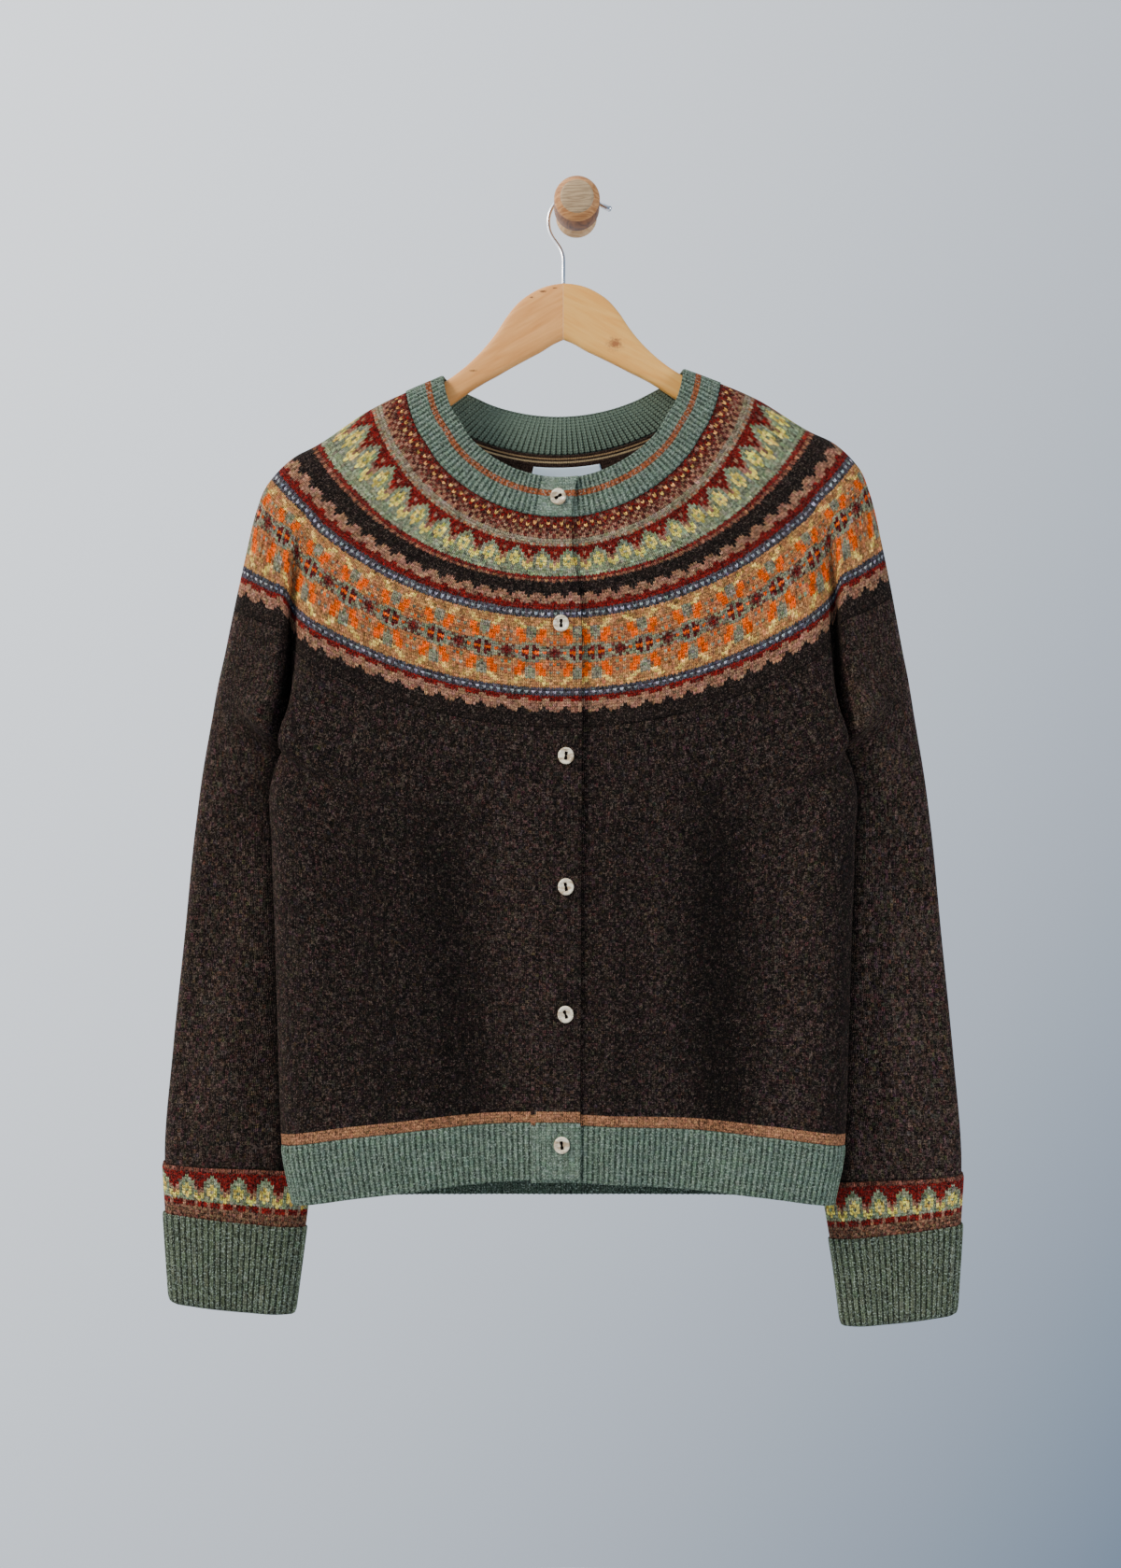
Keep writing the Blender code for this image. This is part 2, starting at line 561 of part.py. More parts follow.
def ring_columns():
    """The columns of the yoke, from the front edge that shows, round to the under edge."""
    left = ([Column("front", -1, p) for p in FRONT_PARTS]
            + [Column("sleeve", -1, p) for p in SLEEVE_PARTS[1:]]
            + [Column("back", -1, p) for p in BACK_PARTS[1:]])
    right = ([Column("front", 1, p) for p in FRONT_PARTS]
             + [Column("sleeve", 1, p) for p in SLEEVE_PARTS[1:]]
             + [Column("back", 1, p) for p in BACK_PARTS[1:-1]])
    return left + right[::-1]


def make_neckband():
    columns = even_columns(FULL_RING, NECK_EVEN_V, NECK_RIB / 2.0)
    count = len(columns)
    plain = set(range(NECK_PLAIN[0])) | set(range(count - NECK_PLAIN[1], count))
    wall("neckband", columns, [0.0, YOKE_V], SAGE, ribs(count, plain), seams="b")


def make_yoke():
    rows = [YOKE_V, 64.0, 98.0, 125.0, 155.0, 185.0, 215.0, YOKE_END_V]
    wall("yoke", ring_columns(), rows, TAN, seams="tb", seam=YOKE_SEAM)


BODY_ROWS = [YOKE_END_V, 263.0, 282.0, 301.0, UNDERARM_V, 332.0, 355.0, 398.0, 445.0, 492.0, 539.0,
             578.0, RIB_V]


def make_fronts():
    for side, name in ((-1, "front_right"), (1, "front_left")):
        columns = [Column("front", side, p) for p in FRONT_PARTS]
        wall(name, columns, BODY_ROWS, BROWN, seams="tbr")


def make_back():
    columns = ([Column("back", -1, p) for p in BACK_PARTS]
               + [Column("back", 1, p) for p in BACK_PARTS[-2::-1]])
    wall("back", columns, BODY_ROWS, BROWN, seams="tblr")


def make_hems():
    for side, name in ((-1, "hem_front_right"), (1, "hem_front_left")):
        columns = even_columns([("front", side, 0.0, 1.0)], RIB_V, HEM_RIB / 2.0)
        plain = set(range(HEM_PLAIN[side]))
        wall(name, columns, [RIB_V, HEM_V], SAGE, ribs(len(columns), plain), seams="tr")
    columns = even_columns([("back", -1, 0.0, BACK_END), ("back", 1, BACK_END, 0.0)], RIB_V,
                           HEM_RIB / 2.0)
    wall("hem_back", columns, [RIB_V, HEM_V], SAGE, ribs(len(columns)), seams="tlr")


def make_sleeves():
    rows = [YOKE_END_V, 263.0, 282.0, 301.0, UNDERARM_V, 332.0, 355.0, 398.0, 445.0, 500.0, 564.0,
            620.0, 665.0, SLEEVE_END_V]
    for side, name in ((-1, "sleeve_right"), (1, "sleeve_left")):
        columns = [Column("sleeve", side, p) for p in SLEEVE_PARTS]
        wall(name, columns, rows, BROWN, closed_from=rows.index(UNDERARM_V),
             seams="tlr")


def make_cuffs():
    """Each cuff hangs from the sleeve's end, folds at the wrist and lies turned up outside."""
    for side, name in ((-1, "cuff_right"), (1, "cuff_left")):
        columns = even_columns([("sleeve", side, 0.0, SLEEVE_END)], CUFF_EVEN_V,
                               CUFF_RIB / 2.0)[:-1]
        if len(columns) % 2:
            columns = columns[:-1]
        inside, outside = -CUFF_WALL, CUFF_STEP - CUFF_WALL
        # v and distance from the sleeve's surface of the points round the folded wall
        section = [(SLEEVE_END_V + 2.0 * SEAM, 0.0), (SLEEVE_END_V + 2.0 * SEAM, inside),
                   (CUFF_FOLD_V - 1.5, inside), (CUFF_FOLD_V + 1.0, outside / 2.0),
                   (CUFF_FOLD_V - 1.5, CUFF_STEP), (CUFF_TOP_V, CUFF_STEP),
                   (CUFF_TOP_V, outside), (CUFF_FOLD_V - 3.0, outside / 2.0)]
        ribbed = {4, 5}
        v = np.array([row[0] for row in section])
        away = np.array([row[1] for row in section])
        bm = bmesh.new()
        rings = []
        for k, column in enumerate(columns):
            lift = np.array([RIB_RISE * (k % 2) if i in ribbed else 0.0
                             for i in range(len(section))])
            points, normals = column.read(v)
            rings.append([bm.verts.new(p) for p in points + normals * (away + lift)[:, None]])
        for k in range(len(rings)):
            here, there = rings[k], rings[(k + 1) % len(rings)]
            for i in range(len(section)):
                j = (i + 1) % len(section)
                bm.faces.new((here[i], here[j], there[j], there[i]))
        finish_mesh(name, bm, SAGE, 0.9)


def make_label():
    """A blank woven label inside the back of the neck, on the yoke's inner side."""
    bm = bmesh.new()
    sheets = []
    for depth in (WALL + LABEL_GAP, WALL + LABEL_GAP + LABEL_T):
        sheet = []
        for v in (LABEL_TOP, LABEL_TOP + LABEL_H / 2.0, LABEL_TOP + LABEL_H):
            line = []
            for x in np.linspace(LABEL_X - LABEL_W / 2.0, LABEL_X + LABEL_W / 2.0, 7):
                side = -1 if x < 0.0 else 1
                spot = np.array([v])
                net = net_at("back", spot)
                u = np.array([BACK_END - abs(x) / np.linalg.norm(net[0, 5] - net[0, 4])])
                point = surface("back", side, u, spot)
                normal = surface_normal("back", side, u, spot)
                line.append(bm.verts.new((point - normal * depth)[0]))
            sheet.append(line)
        sheets.append(sheet)
    close_slab(bm, *sheets)
    finish_mesh("neck_label", bm, WHITE, 0.6)


def close_slab(bm, near, far):
    """Faces of the slab between two sheets of vertices of the same size."""
    rows, columns = len(near), len(near[0])
    for r in range(rows - 1):
        for c in range(columns - 1):
            bm.faces.new((near[r][c], near[r][c + 1], near[r + 1][c + 1], near[r + 1][c]))
            bm.faces.new((far[r][c], far[r + 1][c], far[r + 1][c + 1], far[r][c + 1]))
    loop = ([(0, c) for c in range(columns)] + [(r, columns - 1) for r in range(1, rows)]
            + [(rows - 1, c) for c in range(columns - 2, -1, -1)]
            + [(r, 0) for r in range(rows - 2, 0, -1)])
    for (r0, c0), (r1, c1) in zip(loop, loop[1:] + loop[:1]):
        bm.faces.new((near[r0][c0], far[r0][c0], far[r1][c1], near[r1][c1]))


def front_spot(x, z, rise=0.0):
    """Point and normal on the top front at a place seen from the front."""
    low, high = 0.0, HEM_V
    for _ in range(40):
        v = np.array([(low + high) / 2.0])
        net = net_at("front", v)
        u = np.array([-x / np.linalg.norm(net[0, 3] - net[0, 2])])
        point = surface("front", -1, u, v)[0]
        low, high = (v[0], high) if point[2] > z else (low, v[0])
    normal = surface_normal("front", -1, u, v)[0]
    return point + normal * rise, normal


def make_buttons():
    """Round two-hole buttons with a dished face, each just off the top front."""
    for k, (x, z) in enumerate(zip(BUTTON_X, BUTTON_Z)):
        rib = RIB_RISE if k == len(BUTTON_Z) - 1 else 0.0
        centre, normal = front_spot(x, z, rib + BUTTON_GAP)
        across_x = np.cross(normal, np.array([0.0, 0.0, 1.0]))
        across_x /= np.linalg.norm(across_x)
        up = np.cross(across_x, normal)
        bm = bmesh.new()
        rings = []
        for radius, height in BUTTON_OUTLINE:
            turns = [2.0 * math.pi * i / BUTTON_SIDES for i in range(BUTTON_SIDES)]
            turns = turns[:1] if radius == 0.0 else turns
            rings.append([bm.verts.new(centre + normal * height + radius
                                       * (across_x * math.cos(t) + up * math.sin(t)))
                          for t in turns])
        close_rings(bm, rings)
        finish_mesh("button_%d" % (k + 1), bm, PEARL, 0.25)


def close_rings(bm, rings):
    """Faces between successive rings; a ring of one point closes the form, as does a cap."""
    for first, second in zip(rings, rings[1:]):
        if len(first) == 1 or len(second) == 1:
            point, ring = (first[0], second) if len(first) == 1 else (second[0], first)
            for a, b in zip(ring, ring[1:] + ring[:1]):
                bm.faces.new((point, a, b))
            continue
        for i in range(len(first)):
            j = (i + 1) % len(first)
            bm.faces.new((first[i], first[j], second[j], second[i]))
    for ring in (rings[0], rings[-1]):
        if len(ring) > 1:
            bm.faces.new(ring)


# ---------------------------------------------------------------- hanger and peg

def make_arms():
    """Two arms of flat wood with rounded edges, joined in the middle."""
    for side, name, colour in ((-1, "hanger_arm_right", PINE_PINK), (1, "hanger_arm_left",
                                                                   PINE_GOLD)):
        bm = bmesh.new()
        rings = []
        for arm in ARMS:
            x = side * (arm.x + (0.15 if arm.x == 0.0 else 0.0))
            middle, half = (arm.top_z + arm.end_z) / 2.0, (arm.top_z - arm.end_z) / 2.0
            thick = ARM_HALF * (0.8 if arm is ARMS[-1] else 1.0)
            ring = []
            for k in range(ARM_SIDES):
                turn = 2.0 * math.pi * (k + 0.5) / ARM_SIDES
                c, s = math.cos(turn), math.sin(turn)
                y = ARM_Y + math.copysign(abs(c) ** (2.0 / ARM_POWER), c) * thick
                z = middle + math.copysign(abs(s) ** (2.0 / ARM_POWER), s) * half
                ring.append(bm.verts.new((x + CENTRE_X, y, z + x * math.tan(TILT))))
            rings.append(ring)
        close_rings(bm, rings)
        finish_mesh(name, bm, colour, 0.45)


def hook_path():
    """Centre line of the wire: shank, S-bend, the turn over the peg, and the flared tip."""
    def bend(a, b, c, d, count):
        steps = np.linspace(0.0, 1.0, count)[:, None]
        return (a * (1 - steps) ** 3 + 3 * b * steps * (1 - steps) ** 2
                + 3 * c * steps ** 2 * (1 - steps) + d * steps ** 3)

    left = np.array([HOOK_R * math.cos(HOOK_FROM), HOOK_Z])
    shank = np.array([SHANK_X, SHANK_TOP])
    rise = bend(shank, shank + (0.0, 15.0), left - (0.0, 15.0), left, 9)
    turns = np.linspace(HOOK_FROM, HOOK_TO, 14)[1:]
    over = np.stack([HOOK_R * np.cos(turns), HOOK_Z + HOOK_R * np.sin(turns)], axis=1)
    leave = over[-1]
    heading = np.array([math.sin(HOOK_TO), -math.cos(HOOK_TO)])
    tip = np.array([TIP_X, TIP_Z])
    flare = bend(leave, leave + heading * 4.0, tip - np.array([3.4, -1.2]), tip, 5)[1:]
    flat = np.vstack([[[SHANK_X, SHANK_END]], rise, over, flare])
    fall = smooth(HOOK_Z - 2.0, SHANK_END, flat[:, 1])
    y = HOOK_Y + (ARM_Y - HOOK_Y) * fall
    return np.stack([flat[:, 0], y, flat[:, 1]], axis=1)


def make_hook():
    path = hook_path()
    radii = np.full(len(path), WIRE_R)
    radii[-1] = TIP_R
    tangents = np.gradient(path, axis=0)
    tangents /= np.linalg.norm(tangents, axis=1)[:, None]
    bm = bmesh.new()
    rings = []
    side = np.array([0.0, 1.0, 0.0])
    for point, tangent, radius in zip(path, tangents, radii):
        up = np.cross(tangent, side)
        up /= np.linalg.norm(up)
        wide = np.cross(up, tangent)
        rings.append([bm.verts.new(point + radius * (wide * math.cos(t) + up * math.sin(t)))
                      for t in np.linspace(0.0, 2.0 * math.pi, WIRE_SIDES, endpoint=False)])
    close_rings(bm, rings)
    finish_mesh("hanger_hook", bm, CHROME, 0.15, 1.0)


def make_peg():
    """The turned peg: base on the wall, neck where the hook sits, broad head."""
    bm = bmesh.new()
    rings = []
    for radius, y in PEG:
        rings.append([bm.verts.new((radius * math.cos(t), y, radius * math.sin(t)))
                      for t in np.linspace(0.0, 2.0 * math.pi, PEG_SIDES, endpoint=False)])
    close_rings(bm, rings)
    finish_mesh("wall_peg", bm, OAK, 0.5)


def main():
    for old in list(bpy.data.objects):
        bpy.data.objects.remove(old, do_unlink=True)
    make_neckband()
    make_yoke()
    make_fronts()
    make_back()
    make_hems()
    make_sleeves()
    make_cuffs()
    make_label()
    make_buttons()
    make_arms()
    make_hook()
    make_peg()


main()
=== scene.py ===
"""Cropped knitted cardigan with a patterned round yoke, on a wooden hanger over a wall peg.

Tables and shapes are in millimetres until finish_piece, which turns each mesh to metres.
"""

import math
from collections import namedtuple

import bmesh
import bpy
import numpy as np
from mathutils import Matrix


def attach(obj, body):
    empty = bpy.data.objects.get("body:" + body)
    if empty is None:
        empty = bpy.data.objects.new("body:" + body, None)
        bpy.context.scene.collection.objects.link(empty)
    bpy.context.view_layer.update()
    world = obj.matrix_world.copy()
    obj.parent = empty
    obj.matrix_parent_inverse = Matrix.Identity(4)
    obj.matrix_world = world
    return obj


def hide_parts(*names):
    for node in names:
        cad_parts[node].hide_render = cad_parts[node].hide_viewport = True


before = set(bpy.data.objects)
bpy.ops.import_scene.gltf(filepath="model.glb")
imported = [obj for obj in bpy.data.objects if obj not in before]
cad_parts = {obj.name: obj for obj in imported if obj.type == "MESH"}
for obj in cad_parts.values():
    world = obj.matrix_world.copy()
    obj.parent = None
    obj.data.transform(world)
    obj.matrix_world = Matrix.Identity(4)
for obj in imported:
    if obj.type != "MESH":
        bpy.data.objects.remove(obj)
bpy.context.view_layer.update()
MM = 0.001


# ---------------------------------------------------------------- the studio
# A plain pale floor well below the garment, a pale blue-grey room, one broad soft light from the
# upper left and a weak one from the right.  The camera stands straight in front, 1.56 m away.

FLOOR_Z, FLOOR_R = -1.62, 1.45
ROOM_LIGHT, ROOM_SHADE = (1.86, 1.93, 2.02), (0.20, 0.275, 0.385)
ROOM_WAY, ROOM_FROM = (-0.82, 0.36, 0.53), -0.08     # the bright side, and where it starts to pale
CAMERA_AT = (-0.0124, -1.56, -0.4415)
LENS, SENSOR = 45.95, 36.0


def srgb(red, green, blue):
    """A colour as seen on a screen, 0 to 255, turned to the linear values of the render."""
    return tuple((c / 255 / 12.92) if c <= 10 else ((c / 255 + 0.055) / 1.055) ** 2.4
                 for c in (red, green, blue))


class Finish:
    """A new material and short calls that add its nodes."""

    def __init__(self, name, roughness, metallic=0.0):
        self.material = bpy.data.materials.new(name)
        self.material.use_nodes = True
        self.tree = self.material.node_tree
        self.shader = self.tree.nodes["Principled BSDF"]
        self.shader.inputs["Roughness"].default_value = roughness
        self.shader.inputs["Metallic"].default_value = metallic

    def put(self, socket, value):
        if isinstance(value, bpy.types.NodeSocket):
            self.tree.links.new(value, socket)
        elif hasattr(value, "__len__") and len(value) == 3 and len(socket.default_value) == 4:
            socket.default_value = (*value, 1.0)
        else:
            socket.default_value = value

    def add(self, kind, sockets, out=0, **settings):
        node = self.tree.nodes.new("ShaderNode" + kind)
        for key, value in settings.items():
            setattr(node, key, value)
        for key, value in sockets.items():
            self.put(node.inputs[key], value)
        return node.outputs[out]

    def sums(self, operation, a, b=0.0, clamp=False):
        return self.add("Math", {0: a, 1: b}, operation=operation, use_clamp=clamp)

    def mix(self, share, first, second):
        return self.add("Mix", {0: share, 6: first, 7: second}, 2, data_type="RGBA")

    def spread(self, value, low, high, to_low=0.0, to_high=1.0):
        return self.add("MapRange", {0: value, 1: low, 2: high, 3: to_low, 4: to_high})

    def place(self, size=(1.0, 1.0, 1.0), turn=(0.0, 0.0, 0.0), at=(0.0, 0.0, 0.0)):
        """Object coordinates, in metres, turned, then stretched and centred."""
        where = self.add("TexCoord", {}, "Object")
        if any(turn):
            where = self.add("Mapping", {0: where, 2: turn})
        return self.add("Mapping", {0: where, 1: at, 3: size})

    def noise(self, where, scale, detail=2.0, roughness=0.5):
        return self.add("TexNoise", {"Vector": where, "Scale": scale, "Detail": detail,
                                     "Roughness": roughness})

    def bump(self, height, strength, distance):
        """Relief of the given depth in metres, seen in the shading."""
        normal = self.add("Bump", {"Height": height, "Strength": strength,
                                   "Distance": distance})
        self.put(self.shader.inputs["Normal"], normal)

    def set(self, **values):
        for key, value in values.items():
            self.put(self.shader.inputs[key.replace("_", " ")], value)

    def overlay(self, share, colour):
        """Lay a colour over the present base colour by this share."""
        under = self.shader.inputs["Base Color"].links[0].from_socket
        self.set(Base_Color=self.mix(share, under, colour))


bm = bmesh.new()
bmesh.ops.create_circle(bm, cap_ends=True, segments=96, radius=FLOOR_R)
bmesh.ops.translate(bm, verts=bm.verts, vec=(0.0, 0.0, FLOOR_Z))
floor_mesh = bpy.data.meshes.new("studio_floor")
bm.to_mesh(floor_mesh)
bm.free()
floor = bpy.data.objects.new("studio_floor", floor_mesh)
bpy.context.scene.collection.objects.link(floor)
pale = Finish("pale_floor", 0.8)
pale.set(Base_Color=(0.55, 0.57, 0.60))
floor_mesh.materials.append(pale.material)

world = bpy.data.worlds.new("pale_room")
bpy.context.scene.world = world
world.use_nodes = True
tree = world.node_tree
toward = tree.nodes.new("ShaderNodeVectorMath")      # brighter to the upper left and to the wall
toward.operation = "DOT_PRODUCT"
toward.inputs[1].default_value = ROOM_WAY
tree.links.new(tree.nodes.new("ShaderNodeTexCoord").outputs["Generated"], toward.inputs[0])
ramp = tree.nodes.new("ShaderNodeMapRange")
ramp.inputs[1].default_value, ramp.inputs[2].default_value = ROOM_FROM, 1.0
tree.links.new(toward.outputs["Value"], ramp.inputs[0])
room = tree.nodes.new("ShaderNodeMix")
room.data_type = "RGBA"
room.inputs[6].default_value, room.inputs[7].default_value = (*ROOM_SHADE, 1.0), (*ROOM_LIGHT, 1.0)
tree.links.new(ramp.outputs[0], room.inputs[0])
tree.links.new(room.outputs[2], tree.nodes["Background"].inputs[0])

for name, at, aim, size, watts, colour in (
        ("window_light", (-2.3, -1.5, 1.25), (0.0, 0.0, -0.45), 1.0, 84.0, (1.0, 0.94, 0.87)),
        ("fill_light", (2.2, -1.3, -0.35), (0.0, 0.0, -0.5), 1.3, 40.0, (0.98, 0.98, 1.0))):
    lamp = bpy.data.lights.new(name, "AREA")
    lamp.shape, lamp.size, lamp.energy, lamp.color = "DISK", size, watts, colour
    light = bpy.data.objects.new(name, lamp)
    way = np.array(aim) - np.array(at)
    flat = math.hypot(way[0], way[1])
    light.location = at
    light.rotation_euler = (math.atan2(flat, -way[2]), 0.0, math.atan2(-way[0], way[1]))
    bpy.context.scene.collection.objects.link(light)

lens = bpy.data.cameras.new("camera")
lens.sensor_fit, lens.lens = "VERTICAL", LENS
lens.sensor_height = lens.sensor_width = SENSOR
camera = bpy.data.objects.new("camera", lens)
camera.location = CAMERA_AT
camera.rotation_euler = (math.pi / 2.0, 0.0, 0.0)
bpy.context.scene.collection.objects.link(camera)
bpy.context.scene.camera = camera


# ---------------------------------------------------------------- the wall peg
# A peg of light oak, turned on a lathe: a tapered foot on the wall, a neck that takes the hook,
# and a broad head with an eased front edge.  The grain runs across its face.

PEG = [(0.0, 0.0), (15.2, 0.0), (16.0, -0.6), (15.6, -1.8), (13.6, -7.0), (12.0, -12.6),
       (10.9, -17.6), (10.8, -20.5), (10.8, -23.2), (11.6, -23.75), (16.2, -23.9), (17.1, -24.3),
       (17.4, -25.2), (17.4, -38.0), (17.3, -50.4), (16.9, -52.2), (15.6, -54.2), (12.6, -57.0),
       (11.8, -57.7), (11.0, -58.0), (0.0, -58.0)]
PEG_TURNS = 72
HEAD_BACK_Y, HEAD_EASE_Y = -23.9, -50.5      # the head's side lies between these: darker oak, made darker still as painted shade of its dim underside
SAWN_Y, SAWN_R = -57.3, 12.2         # the sawn face in front


def finish_piece(name, bm, finishes, nodes, smooth_angle=40.0):
    """Make bm the named piece in metres, with its finishes, standing for the CAD nodes."""
    bmesh.ops.scale(bm, vec=(MM, MM, MM), verts=bm.verts)
    mesh = bpy.data.meshes.new(name)
    bm.to_mesh(mesh)
    bm.free()
    mesh.shade_smooth()
    if smooth_angle:
        mesh.set_sharp_from_angle(angle=math.radians(smooth_angle))
    for finish in finishes:
        mesh.materials.append(finish.material)
    piece = bpy.data.objects.new(name, mesh)
    bpy.context.scene.collection.objects.link(piece)
    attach(piece, "root")
    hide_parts(*nodes)
    return piece


def turned(profile, turns):
    """A lathe form about the y axis from its outline of (radius, y)."""
    bm = bmesh.new()
    line = [bm.verts.new((radius, y, 0.0)) for radius, y in profile]
    for a, b in zip(line, line[1:]):
        bm.edges.new((a, b))
    bmesh.ops.spin(bm, geom=bm.verts[:] + bm.edges[:], cent=(0.0, 0.0, 0.0), axis=(0.0, 1.0, 0.0),
                   dvec=(0.0, 0.0, 0.0), angle=2.0 * math.pi, steps=turns, use_merge=True,
                   use_duplicate=False)
    bmesh.ops.remove_doubles(bm, verts=bm.verts, dist=1e-4)
    bmesh.ops.recalc_face_normals(bm, faces=bm.faces)
    return bm


def wood(name, light, dark, size, turn, roughness, at=(0.0, 0.0, 0.0), coat=0.0, rings_share=0.9):
    """Wood with broad growth rings, fine pores and a soft change of tone."""
    grain = Finish(name, roughness)
    where = grain.place(size, turn, at)
    wave = grain.noise(where, 1.0, 3.0, 0.55)
    rings = grain.sums("FRACT", grain.sums("MULTIPLY", wave, 9.0))
    rings = grain.sums("PINGPONG", rings, 0.5)
    fine = grain.noise(grain.place(tuple(6.0 * s for s in size), turn, at), 1.0, 4.0, 0.65)
    share = grain.sums("ADD", grain.sums("MULTIPLY", rings, rings_share),
                       grain.sums("MULTIPLY", fine, 0.8))
    share = grain.spread(share, 0.25, 1.0)
    colour = grain.mix(share, light, dark)
    grain.set(Base_Color=colour, Coat_Weight=coat, Coat_Roughness=0.35, Specular_IOR_Level=0.3)
    grain.bump(fine, 0.25, 0.0004)
    return grain


oak = wood("turned_oak", srgb(222, 162, 102), srgb(156, 98, 54), (12.0, 40.0, 110.0),
           (0.0, 0.03, 0.0), 0.5)
sawn = wood("sawn_face", srgb(206, 176, 134), srgb(140, 112, 82), (14.0, 30.0, 120.0),
            (0.0, 0.04, 0.0), 0.62, (0.2, 0.0, 0.4))
# The head's side is darker oak than the rest, darkened further all round as painted shade for the dim
# light under the head.
side_oak_and_shade = wood("dark_oak_side_and_painted_shade", srgb(160, 104, 58), srgb(92, 56, 30), (30.0, 12.0, 110.0),
                (0.0, 0.0, 0.0), 0.5)
foot_oak = wood("pale_oak_foot", srgb(228, 190, 144), srgb(190, 146, 100), (20.0, 12.0, 90.0),
                (0.0, 0.0, 0.0), 0.6)
bm = turned(PEG, PEG_TURNS)
for face in bm.faces:
    centre = face.calc_center_median()
    if centre.y < SAWN_Y and math.hypot(centre.x, centre.z) < SAWN_R:
        face.material_index = 1
    elif HEAD_EASE_Y < centre.y < HEAD_BACK_Y:
        face.material_index = 2
    elif centre.y > HEAD_BACK_Y:
        face.material_index = 3
finish_piece("turned_peg", bm, [oak, sawn, side_oak_and_shade, foot_oak], ["wall_peg"], 32.0)


# ---------------------------------------------------------------- the hanger's two arms
# Two arms of pale varnished softwood, glued in the middle and rounded along every edge.  The
# viewer's left arm is pinker, the right one yellower with a small knot near its lower edge.

CENTRE_X = -10.3
TILT = math.radians(1.6)
Arm = namedtuple("Arm", "x top_z end_z")
ARMS = [
    Arm(0.04, -58.6, -101.5), Arm(8.0, -59.4, -105.0), Arm(17.0, -61.8, -110.5),
    Arm(26.0, -66.3, -115.0), Arm(35.0, -73.1, -119.6), Arm(43.5, -83.4, -124.1),
    Arm(51.0, -94.9, -128.2), Arm(58.5, -104.4, -132.0), Arm(69.0, -115.2, -138.0),
    Arm(90.0, -131.0, -152.0), Arm(120.0, -142.6, -164.5), Arm(150.0, -156.6, -178.0),
    Arm(180.0, -176.0, -193.0), Arm(194.0, -184.9, -198.0), Arm(199.0, -189.2, -196.5),
]
ARM_Y, ARM_HALF = -28.0, 5.5
ARM_ROUND = 3.4          # fullness of the arm's section
TIP_LENGTH, TIP_THIN = 9.0, 0.55     # the arms thin towards their tips
ARM_STEPS, ARM_SIDES = 64, 36
# Dark marks in the wood, in metres: x and z, half lengths along and across, turn, and colour.  On
# the viewer's left arm a row of small dents, on the right arm a knot.
MARKS = {
    -1: [((-0.0345, -0.0700), (0.0018, 0.0008), -0.45, (104, 62, 36)),
         ((-0.0255, -0.0655), (0.0030, 0.0009), -0.35, (96, 56, 32)),
         ((-0.0170, -0.0628), (0.0022, 0.0007), -0.15, (110, 68, 40)),
         ((-0.0790, -0.1262), (0.0030, 0.0010), -0.60, (128, 84, 50))],
    1: [((0.0289, -0.1057), (0.0066, 0.0056), 0.3, (206, 144, 82)),
        ((0.0292, -0.1058), (0.0042, 0.0038), 0.3, (160, 98, 58))],
}


def hermite(a, b, rise_a, rise_b, s):
    """The smooth way from a to b at s, from 0 to 1, with these rises at its two ends."""
    s2, s3 = s * s, s * s * s
    return (a * (2 * s3 - 3 * s2 + 1) + rise_a * (s3 - 2 * s2 + s)
            + b * (3 * s2 - 2 * s3) + rise_b * (s3 - s2))


def along(knots, points, at, corner=None):
    """Points at `at` on the smooth curve through `points` at `knots`; `corner` may be a sharp one."""
    knots, points = np.asarray(knots, float), np.asarray(points, float)
    gaps = np.diff(knots)[:, None]
    slopes = np.diff(points, axis=0) / gaps
    middle = (gaps[1:] * slopes[:-1] + gaps[:-1] * slopes[1:]) / (gaps[1:] + gaps[:-1])
    leave = np.vstack([slopes[:1], middle, slopes[-1:]])
    arrive = leave.copy()
    if corner is not None:
        arrive[corner] = slopes[corner - 1]
        leave[corner] = slopes[corner]
    i = np.clip(np.searchsorted(knots, at, side="right") - 1, 0, len(knots) - 2)
    s = ((at - knots[i]) / gaps[i, 0])[:, None]
    return hermite(points[i], points[i + 1], leave[i] * gaps[i], arrive[i + 1] * gaps[i], s)


def full_round(turns, power):
    """Across and up on a round of half size 1 at these turns; squarer as the power passes 2."""
    c, s = np.cos(turns), np.sin(turns)
    return np.sign(c) * np.abs(c) ** (2.0 / power), np.sign(s) * np.abs(s) ** (2.0 / power)


def laid_grid(points):
    """A mesh laid over points[row, column], and the row and the column of each vertex.

    It is made as a flat grid, and then each vertex goes to its point.
    """
    rows, columns = points.shape[:2]
    bm = bmesh.new()
    bmesh.ops.create_grid(bm, x_segments=columns - 1, y_segments=rows - 1, size=1.0)
    mesh = bpy.data.meshes.new("laid_grid")
    bm.to_mesh(mesh)
    bm.free()
    flat = np.zeros(len(mesh.vertices) * 3, np.float32)
    mesh.vertices.foreach_get("co", flat)
    flat = flat.reshape(-1, 3)
    column = np.rint((flat[:, 0] + 1.0) / 2.0 * (columns - 1)).astype(int)
    row = np.rint((1.0 - flat[:, 1]) / 2.0 * (rows - 1)).astype(int)
    mesh.vertices.foreach_set("co", points[row, column].astype(np.float32).ravel())
    return mesh, row, column


